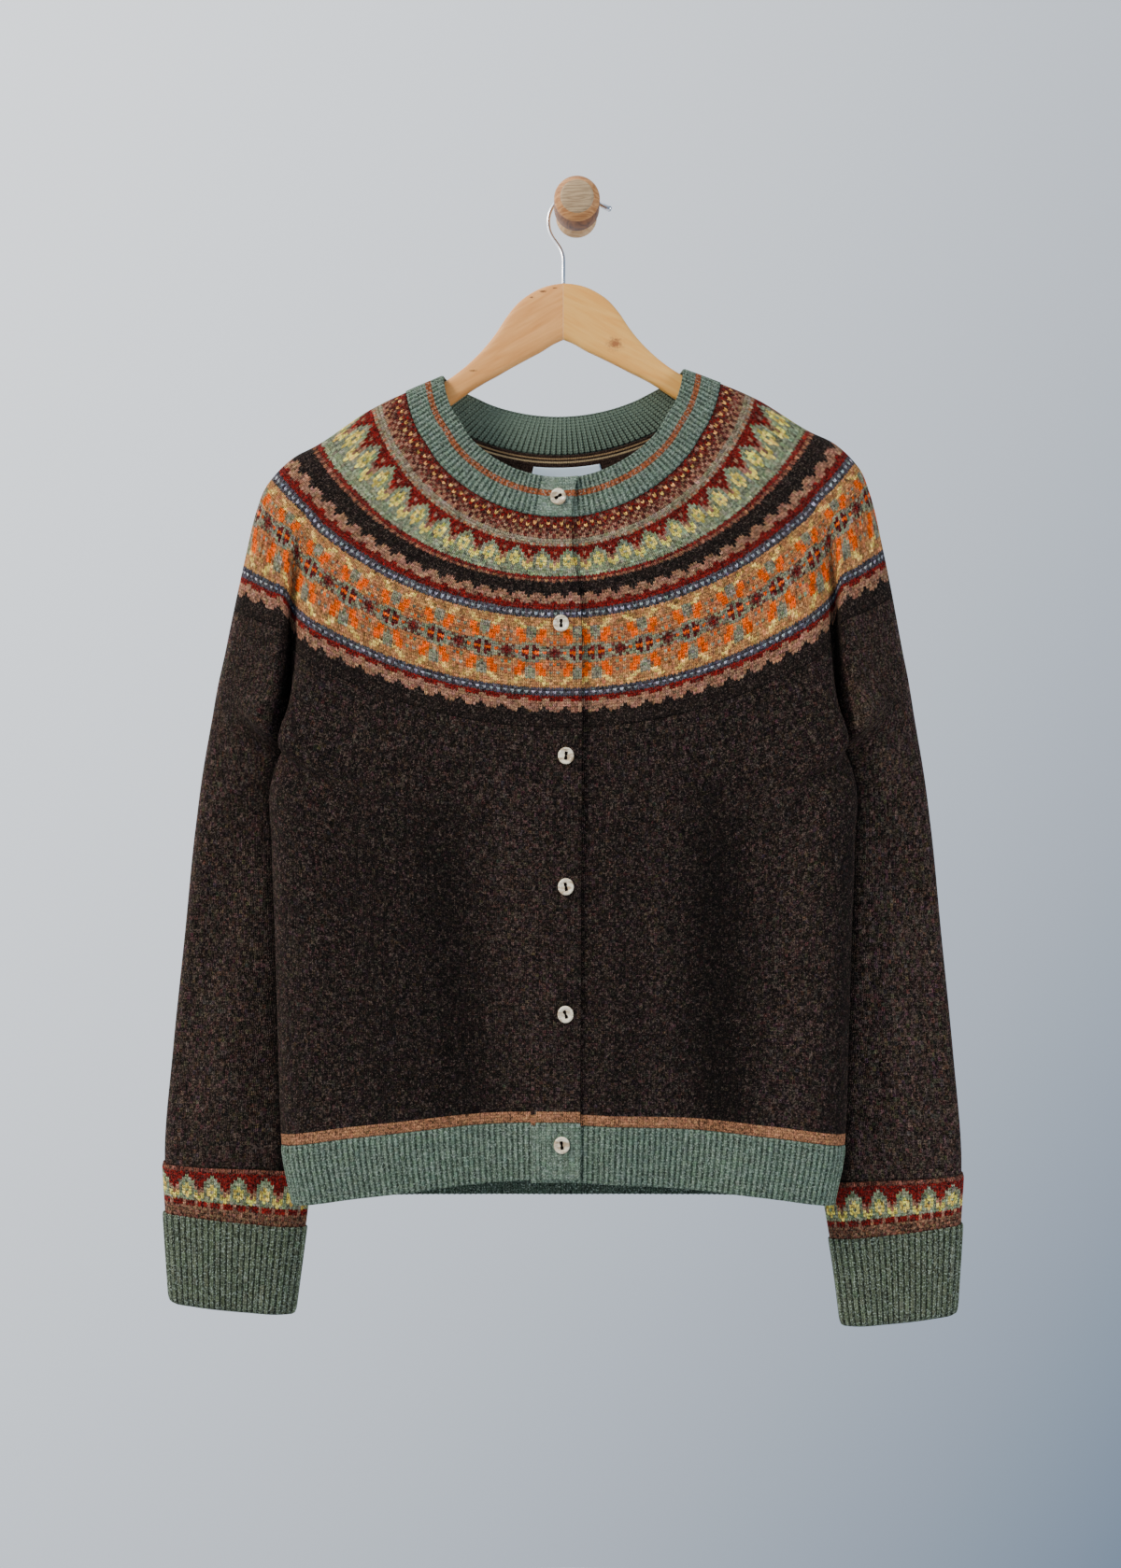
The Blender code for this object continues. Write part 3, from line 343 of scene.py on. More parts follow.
def arm_form(side):
    """One arm: rounded sections along its length, closed at both ends."""
    x = np.linspace(ARMS[0].x, ARMS[-1].x, ARM_STEPS)
    edges = along([arm.x for arm in ARMS], [(arm.top_z, arm.end_z) for arm in ARMS], x)
    top, low = edges[:, :1], edges[:, 1:]
    tip = np.clip((x - (ARMS[-1].x - TIP_LENGTH)) / TIP_LENGTH, 0.0, 1.0)
    thick = ARM_HALF * np.sqrt(1.0 - TIP_THIN * tip ** 2)
    wide, high = full_round(np.linspace(0.0, 2.0 * math.pi, ARM_SIDES + 1), ARM_ROUND)
    x = side * x[:, None]
    points = np.zeros((ARM_STEPS, ARM_SIDES + 1, 3))
    points[..., 0] = x + CENTRE_X
    points[..., 1] = ARM_Y + thick[:, None] * wide
    points[..., 2] = (top + low) / 2.0 + x * math.tan(TILT) + (top - low) / 2.0 * high
    mesh, _, _ = laid_grid(points)
    bm = bmesh.new()
    bm.from_mesh(mesh)
    bpy.data.meshes.remove(mesh)
    bmesh.ops.remove_doubles(bm, verts=bm.verts, dist=0.002)
    bmesh.ops.holes_fill(bm, edges=[e for e in bm.edges if e.is_boundary], sides=0)
    bmesh.ops.recalc_face_normals(bm, faces=bm.faces)
    return bm


for side, name, node, light, dark in (
        (-1, "hanger_arm_pink", "hanger_arm_right", srgb(248, 180, 106), srgb(216, 138, 68)),
        (1, "hanger_arm_gold", "hanger_arm_left", srgb(255, 196, 104), srgb(236, 154, 66))):
    pine = wood(name + "_wood", light, dark, (5.0, 5.0, 46.0), (0.0, -side * 0.5, 0.0), 0.42,
                (0.3 * side, 0.0, 0.1), 0.12, 0.55)
    ragged = pine.noise(pine.place(at=(1.0, 0.0, 0.0)), 620.0, 3.0, 0.7)
    for (x, z), (half_long, half_high), turn, tint in MARKS[side]:
        spot = pine.add("Mapping", {0: pine.place((1.0, 0.0, 1.0), at=(-x, 0.0, -z)),
                                    2: (0.0, turn, 0.0), 3: (1.0 / half_long, 0.0, 1.0 / half_high)})
        away = pine.add("VectorMath", {0: spot}, 1, operation="LENGTH")
        away = pine.sums("ADD", away, pine.spread(ragged, 0.3, 0.7, -0.45, 0.45))
        pine.overlay(pine.spread(away, 1.15, 0.45, 0.0, 0.85), srgb(*tint))
    finish_piece(name, arm_form(side), [pine], [node], 50.0)


# ---------------------------------------------------------------- the hook
# Bright plated wire, 2.9 mm thick, screwed into the joint of the arms.  It bends aside, goes over
# the peg behind its head, and ends in a short flared tip with a small bead.

WIRE_R = 1.45
HOOK_R, HOOK_Z, HOOK_Y = 21.8, -9.2, -20.6
HOOK_FROM, HOOK_TO = math.radians(180.0), math.radians(50.0)
SHANK_X, SHANK_TOP, SHANK_END = -10.2, -41.0, -58.55
SHANK_PULL, TIP_PULL, TIP_CURL = 15.0, 4.0, (3.4, -1.2)      # how the bends set out and come in
TIP_X, TIP_Z, TIP_R, BEAD_R = 26.6, 0.4, 1.3, 2.4
BEAD_POINTS = 5          # points of the path over which the bead swells


def bend(a, b, c, d, count):
    """Points on the curve from a to d that sets out towards b and comes in from c."""
    s = np.linspace(0.0, 1.0, count)[:, None]
    return a * (1 - s) ** 3 + 3 * b * s * (1 - s) ** 2 + 3 * c * s ** 2 * (1 - s) + d * s ** 3


def fade(edge0, edge1, x):
    """0 before edge0, 1 past edge1, and a soft rise between them."""
    t = np.clip((x - edge0) / (edge1 - edge0), 0.0, 1.0)
    return t * t * (3.0 - 2.0 * t)


left = np.array([HOOK_R * math.cos(HOOK_FROM), HOOK_Z])
shank = np.array([SHANK_X, SHANK_TOP])
turns = np.linspace(HOOK_FROM, HOOK_TO, 60)[1:]
over = np.stack([HOOK_R * np.cos(turns), HOOK_Z + HOOK_R * np.sin(turns)], axis=1)
heading = np.array([math.sin(HOOK_TO), -math.cos(HOOK_TO)])
tip = np.array([TIP_X, TIP_Z])
pull = np.array([0.0, SHANK_PULL])
path = np.vstack([bend(*(np.array([SHANK_X, z]) for z in (SHANK_END, -52.0, -46.0, SHANK_TOP)),
                       8)[:-1],
                  bend(shank, shank + pull, left - pull, left, 30), over,
                  bend(over[-1], over[-1] + heading * TIP_PULL, tip - TIP_CURL, tip, 12)[1:]])
depth = HOOK_Y + (ARM_Y - HOOK_Y) * fade(HOOK_Z - 2.0, SHANK_END, path[:, 1])
line = bpy.data.curves.new("hook_line", "CURVE")
line.dimensions, line.bevel_depth, line.bevel_resolution = "3D", 1.0, 6
line.use_fill_caps = True
spline = line.splines.new("POLY")
spline.points.add(len(path) - 1)
for k, (point, (x, z), y) in enumerate(zip(spline.points, path, depth)):
    swell = max(0.0, 1.0 - abs(len(path) - 3 - k) / BEAD_POINTS)
    point.co = (x, y, z, 1.0)
    point.radius = WIRE_R + (BEAD_R - WIRE_R) * math.sqrt(swell)
spline.points[-1].radius = TIP_R
wire = bpy.data.objects.new("hook_line", line)
bpy.context.scene.collection.objects.link(wire)
bm = bmesh.new()
bm.from_mesh(wire.evaluated_get(bpy.context.evaluated_depsgraph_get()).to_mesh())
bpy.data.objects.remove(wire)
bmesh.ops.remove_doubles(bm, verts=bm.verts, dist=1e-3)
bmesh.ops.recalc_face_normals(bm, faces=bm.faces)
plated = Finish("plated_wire", 0.26, 1.0)
plated.set(Base_Color=(0.97, 0.97, 0.98))
finish_piece("hanger_hook_wire", bm, [plated], ["hanger_hook"], 60.0)


# ---------------------------------------------------------------- how the cloth hangs
# The whole cardigan is one smooth surface of knitting.  u runs round it from the button front to
# the back, v runs down it from the neck edge, and every piece below is laid on that surface.
# The rings hang from the shoulders; below the underarm the body and the sleeves part.

# Yoke rings.  front_z, back_z: middle of the ring.  edge: the shoulder ridge.  share: the armhole
# crease, as a part of the way from the middle to the ridge.  crease: how far it is folded in.
Ring = namedtuple("Ring", "v front_z edge_x edge_z back_z front_y edge_y back_y "
                          "share back_share crease slack")
RINGS = [
    Ring(0.0, -210.8, 91.4, -127.0, -157.0, -57.0, -28.0, -10.0, 0.70, 0.70, 0.00, 0.0),
    Ring(30.0, -241.2, 119.9, -138.5, -187.0, -60.0, -28.0, -9.0, 0.72, 0.72, 0.00, 0.0),
    Ring(64.0, -266.9, 150.6, -153.0, -214.0, -63.0, -28.0, -8.5, 0.745, 0.74, 0.00, 0.0),
    Ring(98.0, -287.9, 187.7, -177.0, -237.0, -66.0, -28.0, -8.0, 0.76, 0.75, 0.00, 0.0),
    Ring(115.0, -299.8, 205.6, -186.0, -250.0, -67.0, -28.0, -8.0, 0.77, 0.76, 0.02, 0.0),
    Ring(138.0, -318.7, 223.4, -203.0, -270.0, -68.5, -28.5, -8.0, 0.78, 0.765, 0.10, 3.0),
    Ring(170.0, -343.9, 234.0, -226.0, -298.0, -70.0, -29.0, -8.0, 0.79, 0.77, 0.33, 7.0),
    Ring(208.0, -370.5, 244.1, -269.0, -328.0, -72.0, -29.5, -8.0, 0.795, 0.77, 0.68, 10.0),
    Ring(245.0, -399.9, 251.3, -304.0, -360.0, -73.0, -30.0, -8.0, 0.78, 0.765, 0.88, 13.0),
    Ring(282.0, -436.0, 258.5, -341.0, -398.0, -74.0, -30.0, -8.0, 0.79, 0.755, 0.97, 10.0),
    Ring(320.0, -473.4, 265.0, -374.0, -440.0, -75.0, -31.0, -8.0, 0.80, 0.74, 1.00, 2.0),
]
# The crease: half widths of its lips where it is open, folded and at the back, how far the back
# is drawn in beside it, and the gap between body and sleeve: below zero, the sleeve laps over.
UNDERARM_X, UNDERARM_Y = 206.0, -43.0
LIP, LIP_FOLDED, BACK_LIP = 12.0, 7.0, 12.0
TUCK, UNDERARM_GAP = 11.0, -0.8
ARC_POWER, BACK_POWER = 2.4, 2.8     # fullness of the rings, seen from above
# Where the control points of a ring lie, as parts of the way across each of its stretches
FRONT_PARTS, BACK_PARTS = (0.0, 0.36, 0.74), (0.72, 0.34, 0.0)
ARM_FRONT_PARTS, ARM_BACK_PARTS = (0.34, 0.68, 0.9), (0.1, 0.32, 0.66)

Body = namedtuple("Body", "v front_z side_z back_z side_x side_y front_y")
BODY = [
    Body(332.0, -483.0, -418.5, -450.0, 213.0, -50.0, -75.5),
    Body(355.0, -501.0, -441.0, -468.0, 220.0, -53.0, -76.0),
    Body(398.0, -532.0, -484.0, -506.0, 219.5, -54.0, -77.0),
    Body(468.0, -583.0, -554.0, -570.0, 217.0, -54.0, -78.0),
    Body(539.0, -635.0, -625.0, -636.0, 215.0, -54.0, -78.0),
    Body(610.0, -687.0, -704.4, -705.0, 212.5, -53.0, -77.0),
    Body(618.4, -695.5, -713.0, -713.5, 212.0, -53.0, -77.0),
    Body(664.5, -741.0, -758.0, -759.5, 204.0, -52.0, -76.0),
]
BACK_Y, CREASE_END_V = -8.0, 400.0
# Where the body's control points lie in depth: the front's set back from its middle, the corners
# before and behind the side, and how far the sleeve presses the back's corner in
FRONT_SET_BACK = (0.0, 0.5, 4.5)
SIDE_IN, SIDE_AHEAD = 4.0, 8.0
CORNER_IN, CORNER_BEHIND, CORNER_PRESS = 19.0, 12.0, 6.0
BACK_SET, BACK_PRESS, PRESS_OVER = (4.0, 0.6, 0.0), 7.0, 7.0

Sleeve = namedtuple("Sleeve", "v inner_x inner_z outer_x outer_z front_y back_y")
SLEEVE = [
    Sleeve(332.0, 203.0, -418.5, 268.5, -392.0, -50.0, -7.0),
    Sleeve(355.0, 191.0, -441.0, 275.0, -425.0, -44.5, -6.0),
    Sleeve(398.0, 182.0, -484.0, 282.0, -473.0, -41.0, -5.0),
    Sleeve(476.0, 179.0, -554.0, 290.5, -556.0, -40.0, -5.0),
    Sleeve(564.0, 184.0, -640.0, 299.5, -644.0, -40.0, -6.0),
    Sleeve(645.0, 192.0, -720.0, 306.0, -725.0, -38.0, -7.5),
    Sleeve(692.0, 199.0, -776.0, 304.0, -765.0, -36.0, -9.5),
    Sleeve(700.0, 200.0, -784.0, 303.5, -772.5, -36.0, -10.0),
    Sleeve(767.0, 208.5, -849.0, 299.0, -840.0, -34.0, -12.0),
]
SLEEVE_POWER = 2.3
SLEEVE_TURNS = (0, 38, 78, 122, 158, 180, 202, 240, 285, 322, 360)
LONG_SLEEVE, LONG_FROM, LONG_TO = 9.0, 360.0, 690.0
SLIM_CUFF, SLIM_FROM, SLIM_TO = 8.0, 560.0, 740.0
CUFF_INNER_X, CUFF_WIDTH = 200.0, 100.0
TILT_TOP, TILT_END = -240.0, -420.0

# The front edge that shows, beside the middle line, and the under front behind it
LAP_V = [0.0, 20.0, 64.0, 98.0, 120.0, 160.0, 664.5]
LAP_X = [11.0, 6.5, 6.5, 10.5, 13.0, 14.0, 12.5]
LAP_BEND, EDGE_BACK, UNDER_LAP = (18.0, 40.0), 3.4, 24.0

# The fronts' lower edge arches in the middle, the one that shows a little more.
ARCH, ARCH_HALF, ARCH_FROM, ARCH_TO = 3.2, 95.0, 606.0, 662.0
SHORT_FRONT, SHORT_FROM, SHORT_TO = 2.4, 500.0, 600.0

# Soft folds.  side: -1 viewer's left, 1 right.  depth: into the garment.
SLEEVE_FRONT_Y, SLEEVE_FADE = -22.0, 12.0
Fold = namedtuple("Fold", "face side x top_z end_z lean half_width depth")
FOLDS = [
    Fold("front", -1, 178.0, -400.0, -690.0, 0.12, 18.0, 4.5),
    Fold("front", -1, 98.0, -360.0, -880.0, 0.115, 40.0, 11.0),
    Fold("front", 1, 184.0, -400.0, -690.0, 0.14, 18.0, 4.5),
    Fold("front", 1, 122.0, -360.0, -880.0, 0.06, 36.0, 11.0),
    Fold("front", 1, 40.0, -420.0, -860.0, 0.03, 20.0, -2.5),
    Fold("back", -1, 120.0, -420.0, -740.0, 0.10, 34.0, -3.5),
    Fold("back", 1, 96.0, -460.0, -750.0, 0.08, 36.0, -3.5),
    Fold("sleeve", -1, 236.0, -430.0, -650.0, -0.22, 20.0, 5.5),
    Fold("sleeve", -1, 276.0, -560.0, -760.0, -0.10, 18.0, 3.0),
    Fold("sleeve", 1, 240.0, -420.0, -620.0, -0.20, 22.0, 5.5),
    Fold("sleeve", 1, 268.0, -540.0, -750.0, -0.12, 18.0, 3.5),
]


def across(net, u):
    """Points at u on the curve through each row of net, whose first and last columns are pads."""
    chords = np.linalg.norm(np.diff(net, axis=1), axis=2)[..., None] + 1e-6
    slopes = np.diff(net, axis=1) / chords
    tangents = ((chords[:, 1:] * slopes[:, :-1] + chords[:, :-1] * slopes[:, 1:])
                / (chords[:, 1:] + chords[:, :-1]))
    i = np.clip(np.floor(u).astype(int), 0, net.shape[1] - 4)
    s = (u - i)[:, None]
    row = np.arange(len(u))
    span = chords[row, i + 1]
    return hermite(net[row, i + 1], net[row, i + 2],
                   tangents[row, i] * span, tangents[row, i + 1] * span, s)


def arc(part, width, drop):
    """x and depth on the circle arc that leaves the middle level and ends at (width, drop)."""
    turn = 2.0 * math.atan2(drop, width)
    if abs(turn) < 1e-4:
        return width * part, drop * part * part
    return (width * math.sin(part * turn) / math.sin(turn),
            drop * (1.0 - math.cos(part * turn)) / (1.0 - math.cos(turn)))


def ring_point(ring, face, part, lift=0.0):
    """A point of a yoke ring, `part` of the way from its middle to the shoulder ridge."""
    front = face == "front"
    middle_z, middle_y = (ring.front_z, ring.front_y) if front else (ring.back_z, ring.back_y)
    power = ARC_POWER if front else BACK_POWER
    x, rise = arc(part, ring.edge_x, ring.edge_z - middle_z)
    full = (1.0 - part ** power) ** (1.0 / power)
    return np.array([x, ring.edge_y + (middle_y - ring.edge_y) * full, middle_z + rise + lift])


def crease_points(ring, face, share, lip, slack):
    """A yoke ring's crease on one face: the body's lip, the sleeve's lip and the fold between."""
    middle = ring_point(ring, face, share)
    body_lip = ring_point(ring, face, share - lip)
    sleeve_lip = ring_point(ring, face, share + lip, slack)
    fold = (body_lip + sleeve_lip) / 2.0
    fold[0] += (UNDERARM_X - fold[0]) * ring.crease
    fold[1] = middle[1] + (UNDERARM_Y - middle[1]) * ring.crease
    return body_lip, sleeve_lip, fold


def ring_stations(ring):
    """The control points of half a yoke ring, from the front's middle round to the back's."""
    length = math.hypot(ring.edge_x, ring.edge_z - ring.front_z)
    lip = (LIP + (LIP_FOLDED - LIP) * ring.crease) / length
    back_lip = BACK_LIP / length
    body_lip, sleeve_lip, fold = crease_points(ring, "front", ring.share, lip, ring.slack)
    back_body, back_sleeve, back_fold = crease_points(ring, "back", ring.back_share, back_lip,
                                                      ring.slack / 2.0)
    back_body[1] -= TUCK * ring.crease ** 2
    back_fold[2] += (fold[2] - back_fold[2]) * ring.crease
    front = [ring_point(ring, "front", (ring.share - lip) * k) for k in FRONT_PARTS]
    back = [ring_point(ring, "back", (ring.back_share - back_lip) * k) for k in BACK_PARTS]
    start, back_start = ring.share + lip, ring.back_share + back_lip
    arm = [ring_point(ring, "front", start + (1.0 - start) * k, ring.slack * (1.0 - k))
           for k in ARM_FRONT_PARTS]
    arm.append(ring_point(ring, "front", 1.0))
    arm += [ring_point(ring, "back", 1.0 - (1.0 - back_start) * k, ring.slack * k / 2.0)
            for k in ARM_BACK_PARTS]
    apart = np.array([UNDERARM_GAP * ring.crease ** 2, 0.0, 0.0])
    return (front + [body_lip, fold],
            [fold + apart, sleeve_lip] + arm + [back_sleeve, back_fold + apart],
            [back_fold, back_body] + back)


def body_stations(row):
    """The control points of half a body ring below the underarm: its front and its back."""
    def at(part, y, middle_z, inward=0.0):
        x = row.side_x * part - inward
        return np.array([x, y, middle_z + (row.side_z - middle_z) * (x / row.side_x) ** 2])

    side = np.array([row.side_x, row.side_y, row.side_z])
    front = [at(part, row.front_y + back, row.front_z)
             for part, back in zip(FRONT_PARTS, FRONT_SET_BACK)]
    front += [at(1.0, row.side_y - SIDE_AHEAD, row.front_z, SIDE_IN), side]
    pressed = 1.0
    if row.v < CREASE_END_V:
        pressed = min((row.side_x - UNDERARM_X) / PRESS_OVER, 1.0)
    corner_y = row.side_y + CORNER_BEHIND - CORNER_PRESS * pressed
    back = [side, at(1.0, corner_y, row.back_z, CORNER_IN)]
    for part, set_in, press in zip(BACK_PARTS, BACK_SET, (BACK_PRESS, 0.0, 0.0)):
        back.append(at(part, BACK_Y - set_in - press * pressed, row.back_z))
    return front, back


def sleeve_stations(row):
    """The control points of a sleeve ring below the underarm, from its inner edge round."""
    wide, deep = full_round(np.radians(SLEEVE_TURNS), SLEEVE_POWER)
    x = (row.inner_x + row.outer_x - wide * (row.outer_x - row.inner_x)) / 2.0
    y = (row.front_y + row.back_y - deep * (row.back_y - row.front_y)) / 2.0
    z = row.inner_z + (row.outer_z - row.inner_z) * (1.0 - wide) / 2.0
    return list(np.stack([x, y, z], axis=1))


def build_nets():
    """For each patch: its knots, its control points with pads, sharp columns and first column."""
    other_side = np.array([-1.0, 1.0, 1.0])
    arms = [sleeve_stations(row) for row in SLEEVE]
    front, back, sleeve = [], [], []
    for i, ring in enumerate(RINGS):
        ahead, arm, behind = ring_stations(ring)
        if i == len(RINGS) - 1:      # at the underarm the body closes, and the sleeve ends straight
            pads = [behind[1], ahead[3], 2 * arm[0] - arm[1], 2 * arm[-1] - arm[-2]]
        else:
            pads = [arm[1], arm[-2], ahead[3], behind[1]]
        front.append([ahead[2] * other_side, ahead[1] * other_side] + ahead + [pads[0]])
        back.append([pads[1]] + behind + [behind[3] * other_side, behind[2] * other_side])
        sleeve.append([pads[2]] + arm + [pads[3]])
    for row in BODY:
        ahead, behind = body_stations(row)
        front.append([ahead[2] * other_side, ahead[1] * other_side] + ahead + [behind[1]])
        back.append([ahead[3]] + behind + [behind[3] * other_side, behind[2] * other_side])
    for arm in arms:
        sleeve.append([arm[-2]] + arm + [arm[1]])
    body_knots = [ring.v for ring in RINGS] + [row.v for row in BODY]
    sleeve_knots = [ring.v for ring in RINGS] + [row.v for row in SLEEVE]
    return {"front": (body_knots, np.array(front), {6}, 1),
            "back": (body_knots, np.array(back), {1}, 0),
            "sleeve": (sleeve_knots, np.array(sleeve), {1, 11}, 0)}


NETS = build_nets()


def net_at(patch, v):
    """The patch's control points at each v, as rows of columns."""
    knots, net, sharp, _ = NETS[patch]
    return np.stack([along(knots, net[:, j], v, len(RINGS) - 1 if j in sharp else None)
                     for j in range(net.shape[1])], axis=1)


def surface(patch, side, u, v):
    """Points of the cloth's outer side, in millimetres.  side is -1 on the viewer's left."""
    points = across(net_at(patch, v), u + NETS[patch][3])
    shift = np.zeros(len(points))
    for fold in FOLDS:
        if fold.face == patch and fold.side == side:
            fall = np.clip((fold.top_z - points[:, 2]) / (fold.top_z - fold.end_z), 0.0, 1.0)
            line = fold.x + fold.lean * (points[:, 2] - fold.top_z)
            near = np.exp(-((points[:, 0] - line) / fold.half_width) ** 2)
            shift += fold.depth * near * np.sin(math.pi * fall) ** 2
    if patch == "sleeve":
        shift *= np.clip((SLEEVE_FRONT_Y - points[:, 1]) / SLEEVE_FADE, 0.0, 1.0)
    points[:, 1] += shift
    if patch == "sleeve" and side > 0:
        points[:, 2] -= LONG_SLEEVE * fade(LONG_FROM, LONG_TO, v)
        slim = SLIM_CUFF * fade(SLIM_FROM, SLIM_TO, v)
        points[:, 0] += slim * (1.0 - (points[:, 0] - CUFF_INNER_X) / CUFF_WIDTH)
    if patch == "front":
        middle = np.exp(-(points[:, 0] / ARCH_HALF) ** 2)
        points[:, 2] += ARCH * middle * fade(ARCH_FROM, ARCH_TO, v)
        if side < 0:
            points[:, 2] += SHORT_FRONT * middle * fade(SHORT_FROM, SHORT_TO, v)
        else:
            points[:, 1] += EDGE_BACK * (1.0 - fade(*LAP_BEND, points[:, 0]))
    points[:, 0] *= side
    points[:, 2] += points[:, 0] * math.tan(TILT) * fade(TILT_END, TILT_TOP, points[:, 2])
    points[:, 0] += CENTRE_X
    return points


# Columns of stitches.  base is u, or on the laps past the middle line a part of the lap, from -1
# at the free edge to 0.  stitch counts the stitches.
Columns = namedtuple("Columns", "patch side base stitch")


def read(columns, v, lift=0.0):
    """Points [row, column] at v[row, column], raised from the cloth's surface by lift."""
    v = np.broadcast_to(v, (len(v), len(columns.base)))
    lift = np.broadcast_to(lift, v.shape)
    points = np.zeros(v.shape + (3,))
    for patch, side in {(p, s) for p, s in zip(columns.patch, columns.side)}:
        mine = np.array([p == patch and s == side for p, s in zip(columns.patch, columns.side)])
        rows = v[:, mine].ravel()
        base = np.broadcast_to(columns.base[mine], (len(v), mine.sum())).ravel()
        u = base.copy()
        if patch == "front" and (base < 0.0).any():
            lap = base < 0.0
            edge = np.interp(rows, LAP_V, LAP_X) if side < 0 else np.full(len(rows), UNDER_LAP)
            net = net_at("front", rows)
            first = np.linalg.norm(net[:, 3] - net[:, 2], axis=1)
            u[lap] = (edge * base / first)[lap]
        spot = surface(patch, side, u, rows)
        low, high = NETS[patch][0][0], NETS[patch][0][-1]
        along_u = surface(patch, side, u + 0.004, rows) - surface(patch, side, u - 0.004, rows)
        along_v = (surface(patch, side, u, np.minimum(rows + 0.4, high))
                   - surface(patch, side, u, np.maximum(rows - 0.4, low)))
        normal = -side * np.cross(along_u, along_v)
        normal /= np.linalg.norm(normal, axis=1)[:, None]
        spot += normal * lift[:, mine].ravel()[:, None]
        points[:, mine] = spot.reshape(len(v), -1, 3)
    return points


LEG_STEPS = 240          # fine steps over which a leg is measured


def along_leg(leg, v):
    """Fine steps of a leg (patch, side, from, to) at this v, and the distance gone at each."""
    steps = np.linspace(leg[2], leg[3], LEG_STEPS)
    fine = Columns([leg[0]] * LEG_STEPS, [leg[1]] * LEG_STEPS, steps, None)
    line = read(fine, np.array([[v]]))[0]
    gone = np.cumsum(np.linalg.norm(np.diff(line, axis=0), axis=1))
    return steps, np.concatenate([[0.0], gone])


def spaced(legs, v, width=None, count=None, per=2, first=0.0):
    """Columns at even distances at this v along the legs.

    There are `per` of them to a stitch of about this width, or `count` stitches in all.
    """
    measured = [along_leg(leg, v) for leg in legs]
    ends = np.cumsum([gone[-1] for _, gone in measured])
    count = count or max(1, round(ends[-1] / width))
    targets = np.linspace(0.0, ends[-1], count * per + 1)
    leg = np.clip(np.searchsorted(ends, targets - 1e-6), 0, len(legs) - 1)
    values = np.empty(len(targets))
    for k, (steps, gone) in enumerate(measured):
        mine = leg == k
        values[mine] = np.interp(targets[mine] - (ends[k] - gone[-1]), gone, steps)
    return Columns([legs[k][0] for k in leg], [legs[k][1] for k in leg], values,
                   first + np.arange(len(targets)) / per)


def joined(*parts):
    """Column groups end to end, each one's last column being the next one's first."""
    patch, side, base, stitch = list(parts[0][0]), list(parts[0][1]), [parts[0][2]], [parts[0][3]]
    for part in parts[1:]:
        patch += part.patch[1:]
        side += part.side[1:]
        base.append(part.base[1:])
        stitch.append(part.stitch[1:])
    return Columns(patch, side, np.concatenate(base), np.concatenate(stitch))


def turned_about(columns):
    """The same columns from last to first."""
    return Columns(columns.patch[::-1], columns.side[::-1], columns.base[::-1],
                   columns.stitch[::-1])


# ---------------------------------------------------------------- the wool
# Soft two-ply lambswool, spun from mixed fibres, so that every stitch has its own tone, with pale
# flecks and a fine fuzz.  Each stitch is a V of two legs; its colour comes with the knitting, and
# the shade of its relief is painted into that colour, darker between the legs.

STITCH_RELIEF = 0.0008       # in metres


def stitch_place(yarn):
    """Where a point lies in the knitting: its stitch and its row, from the piece's own UV."""
    apart = yarn.tree.nodes.new("ShaderNodeSeparateXYZ")
    yarn.put(apart.inputs[0], yarn.add("UVMap", {}, uv_map="stitches"))
    return apart.outputs[0], apart.outputs[1]


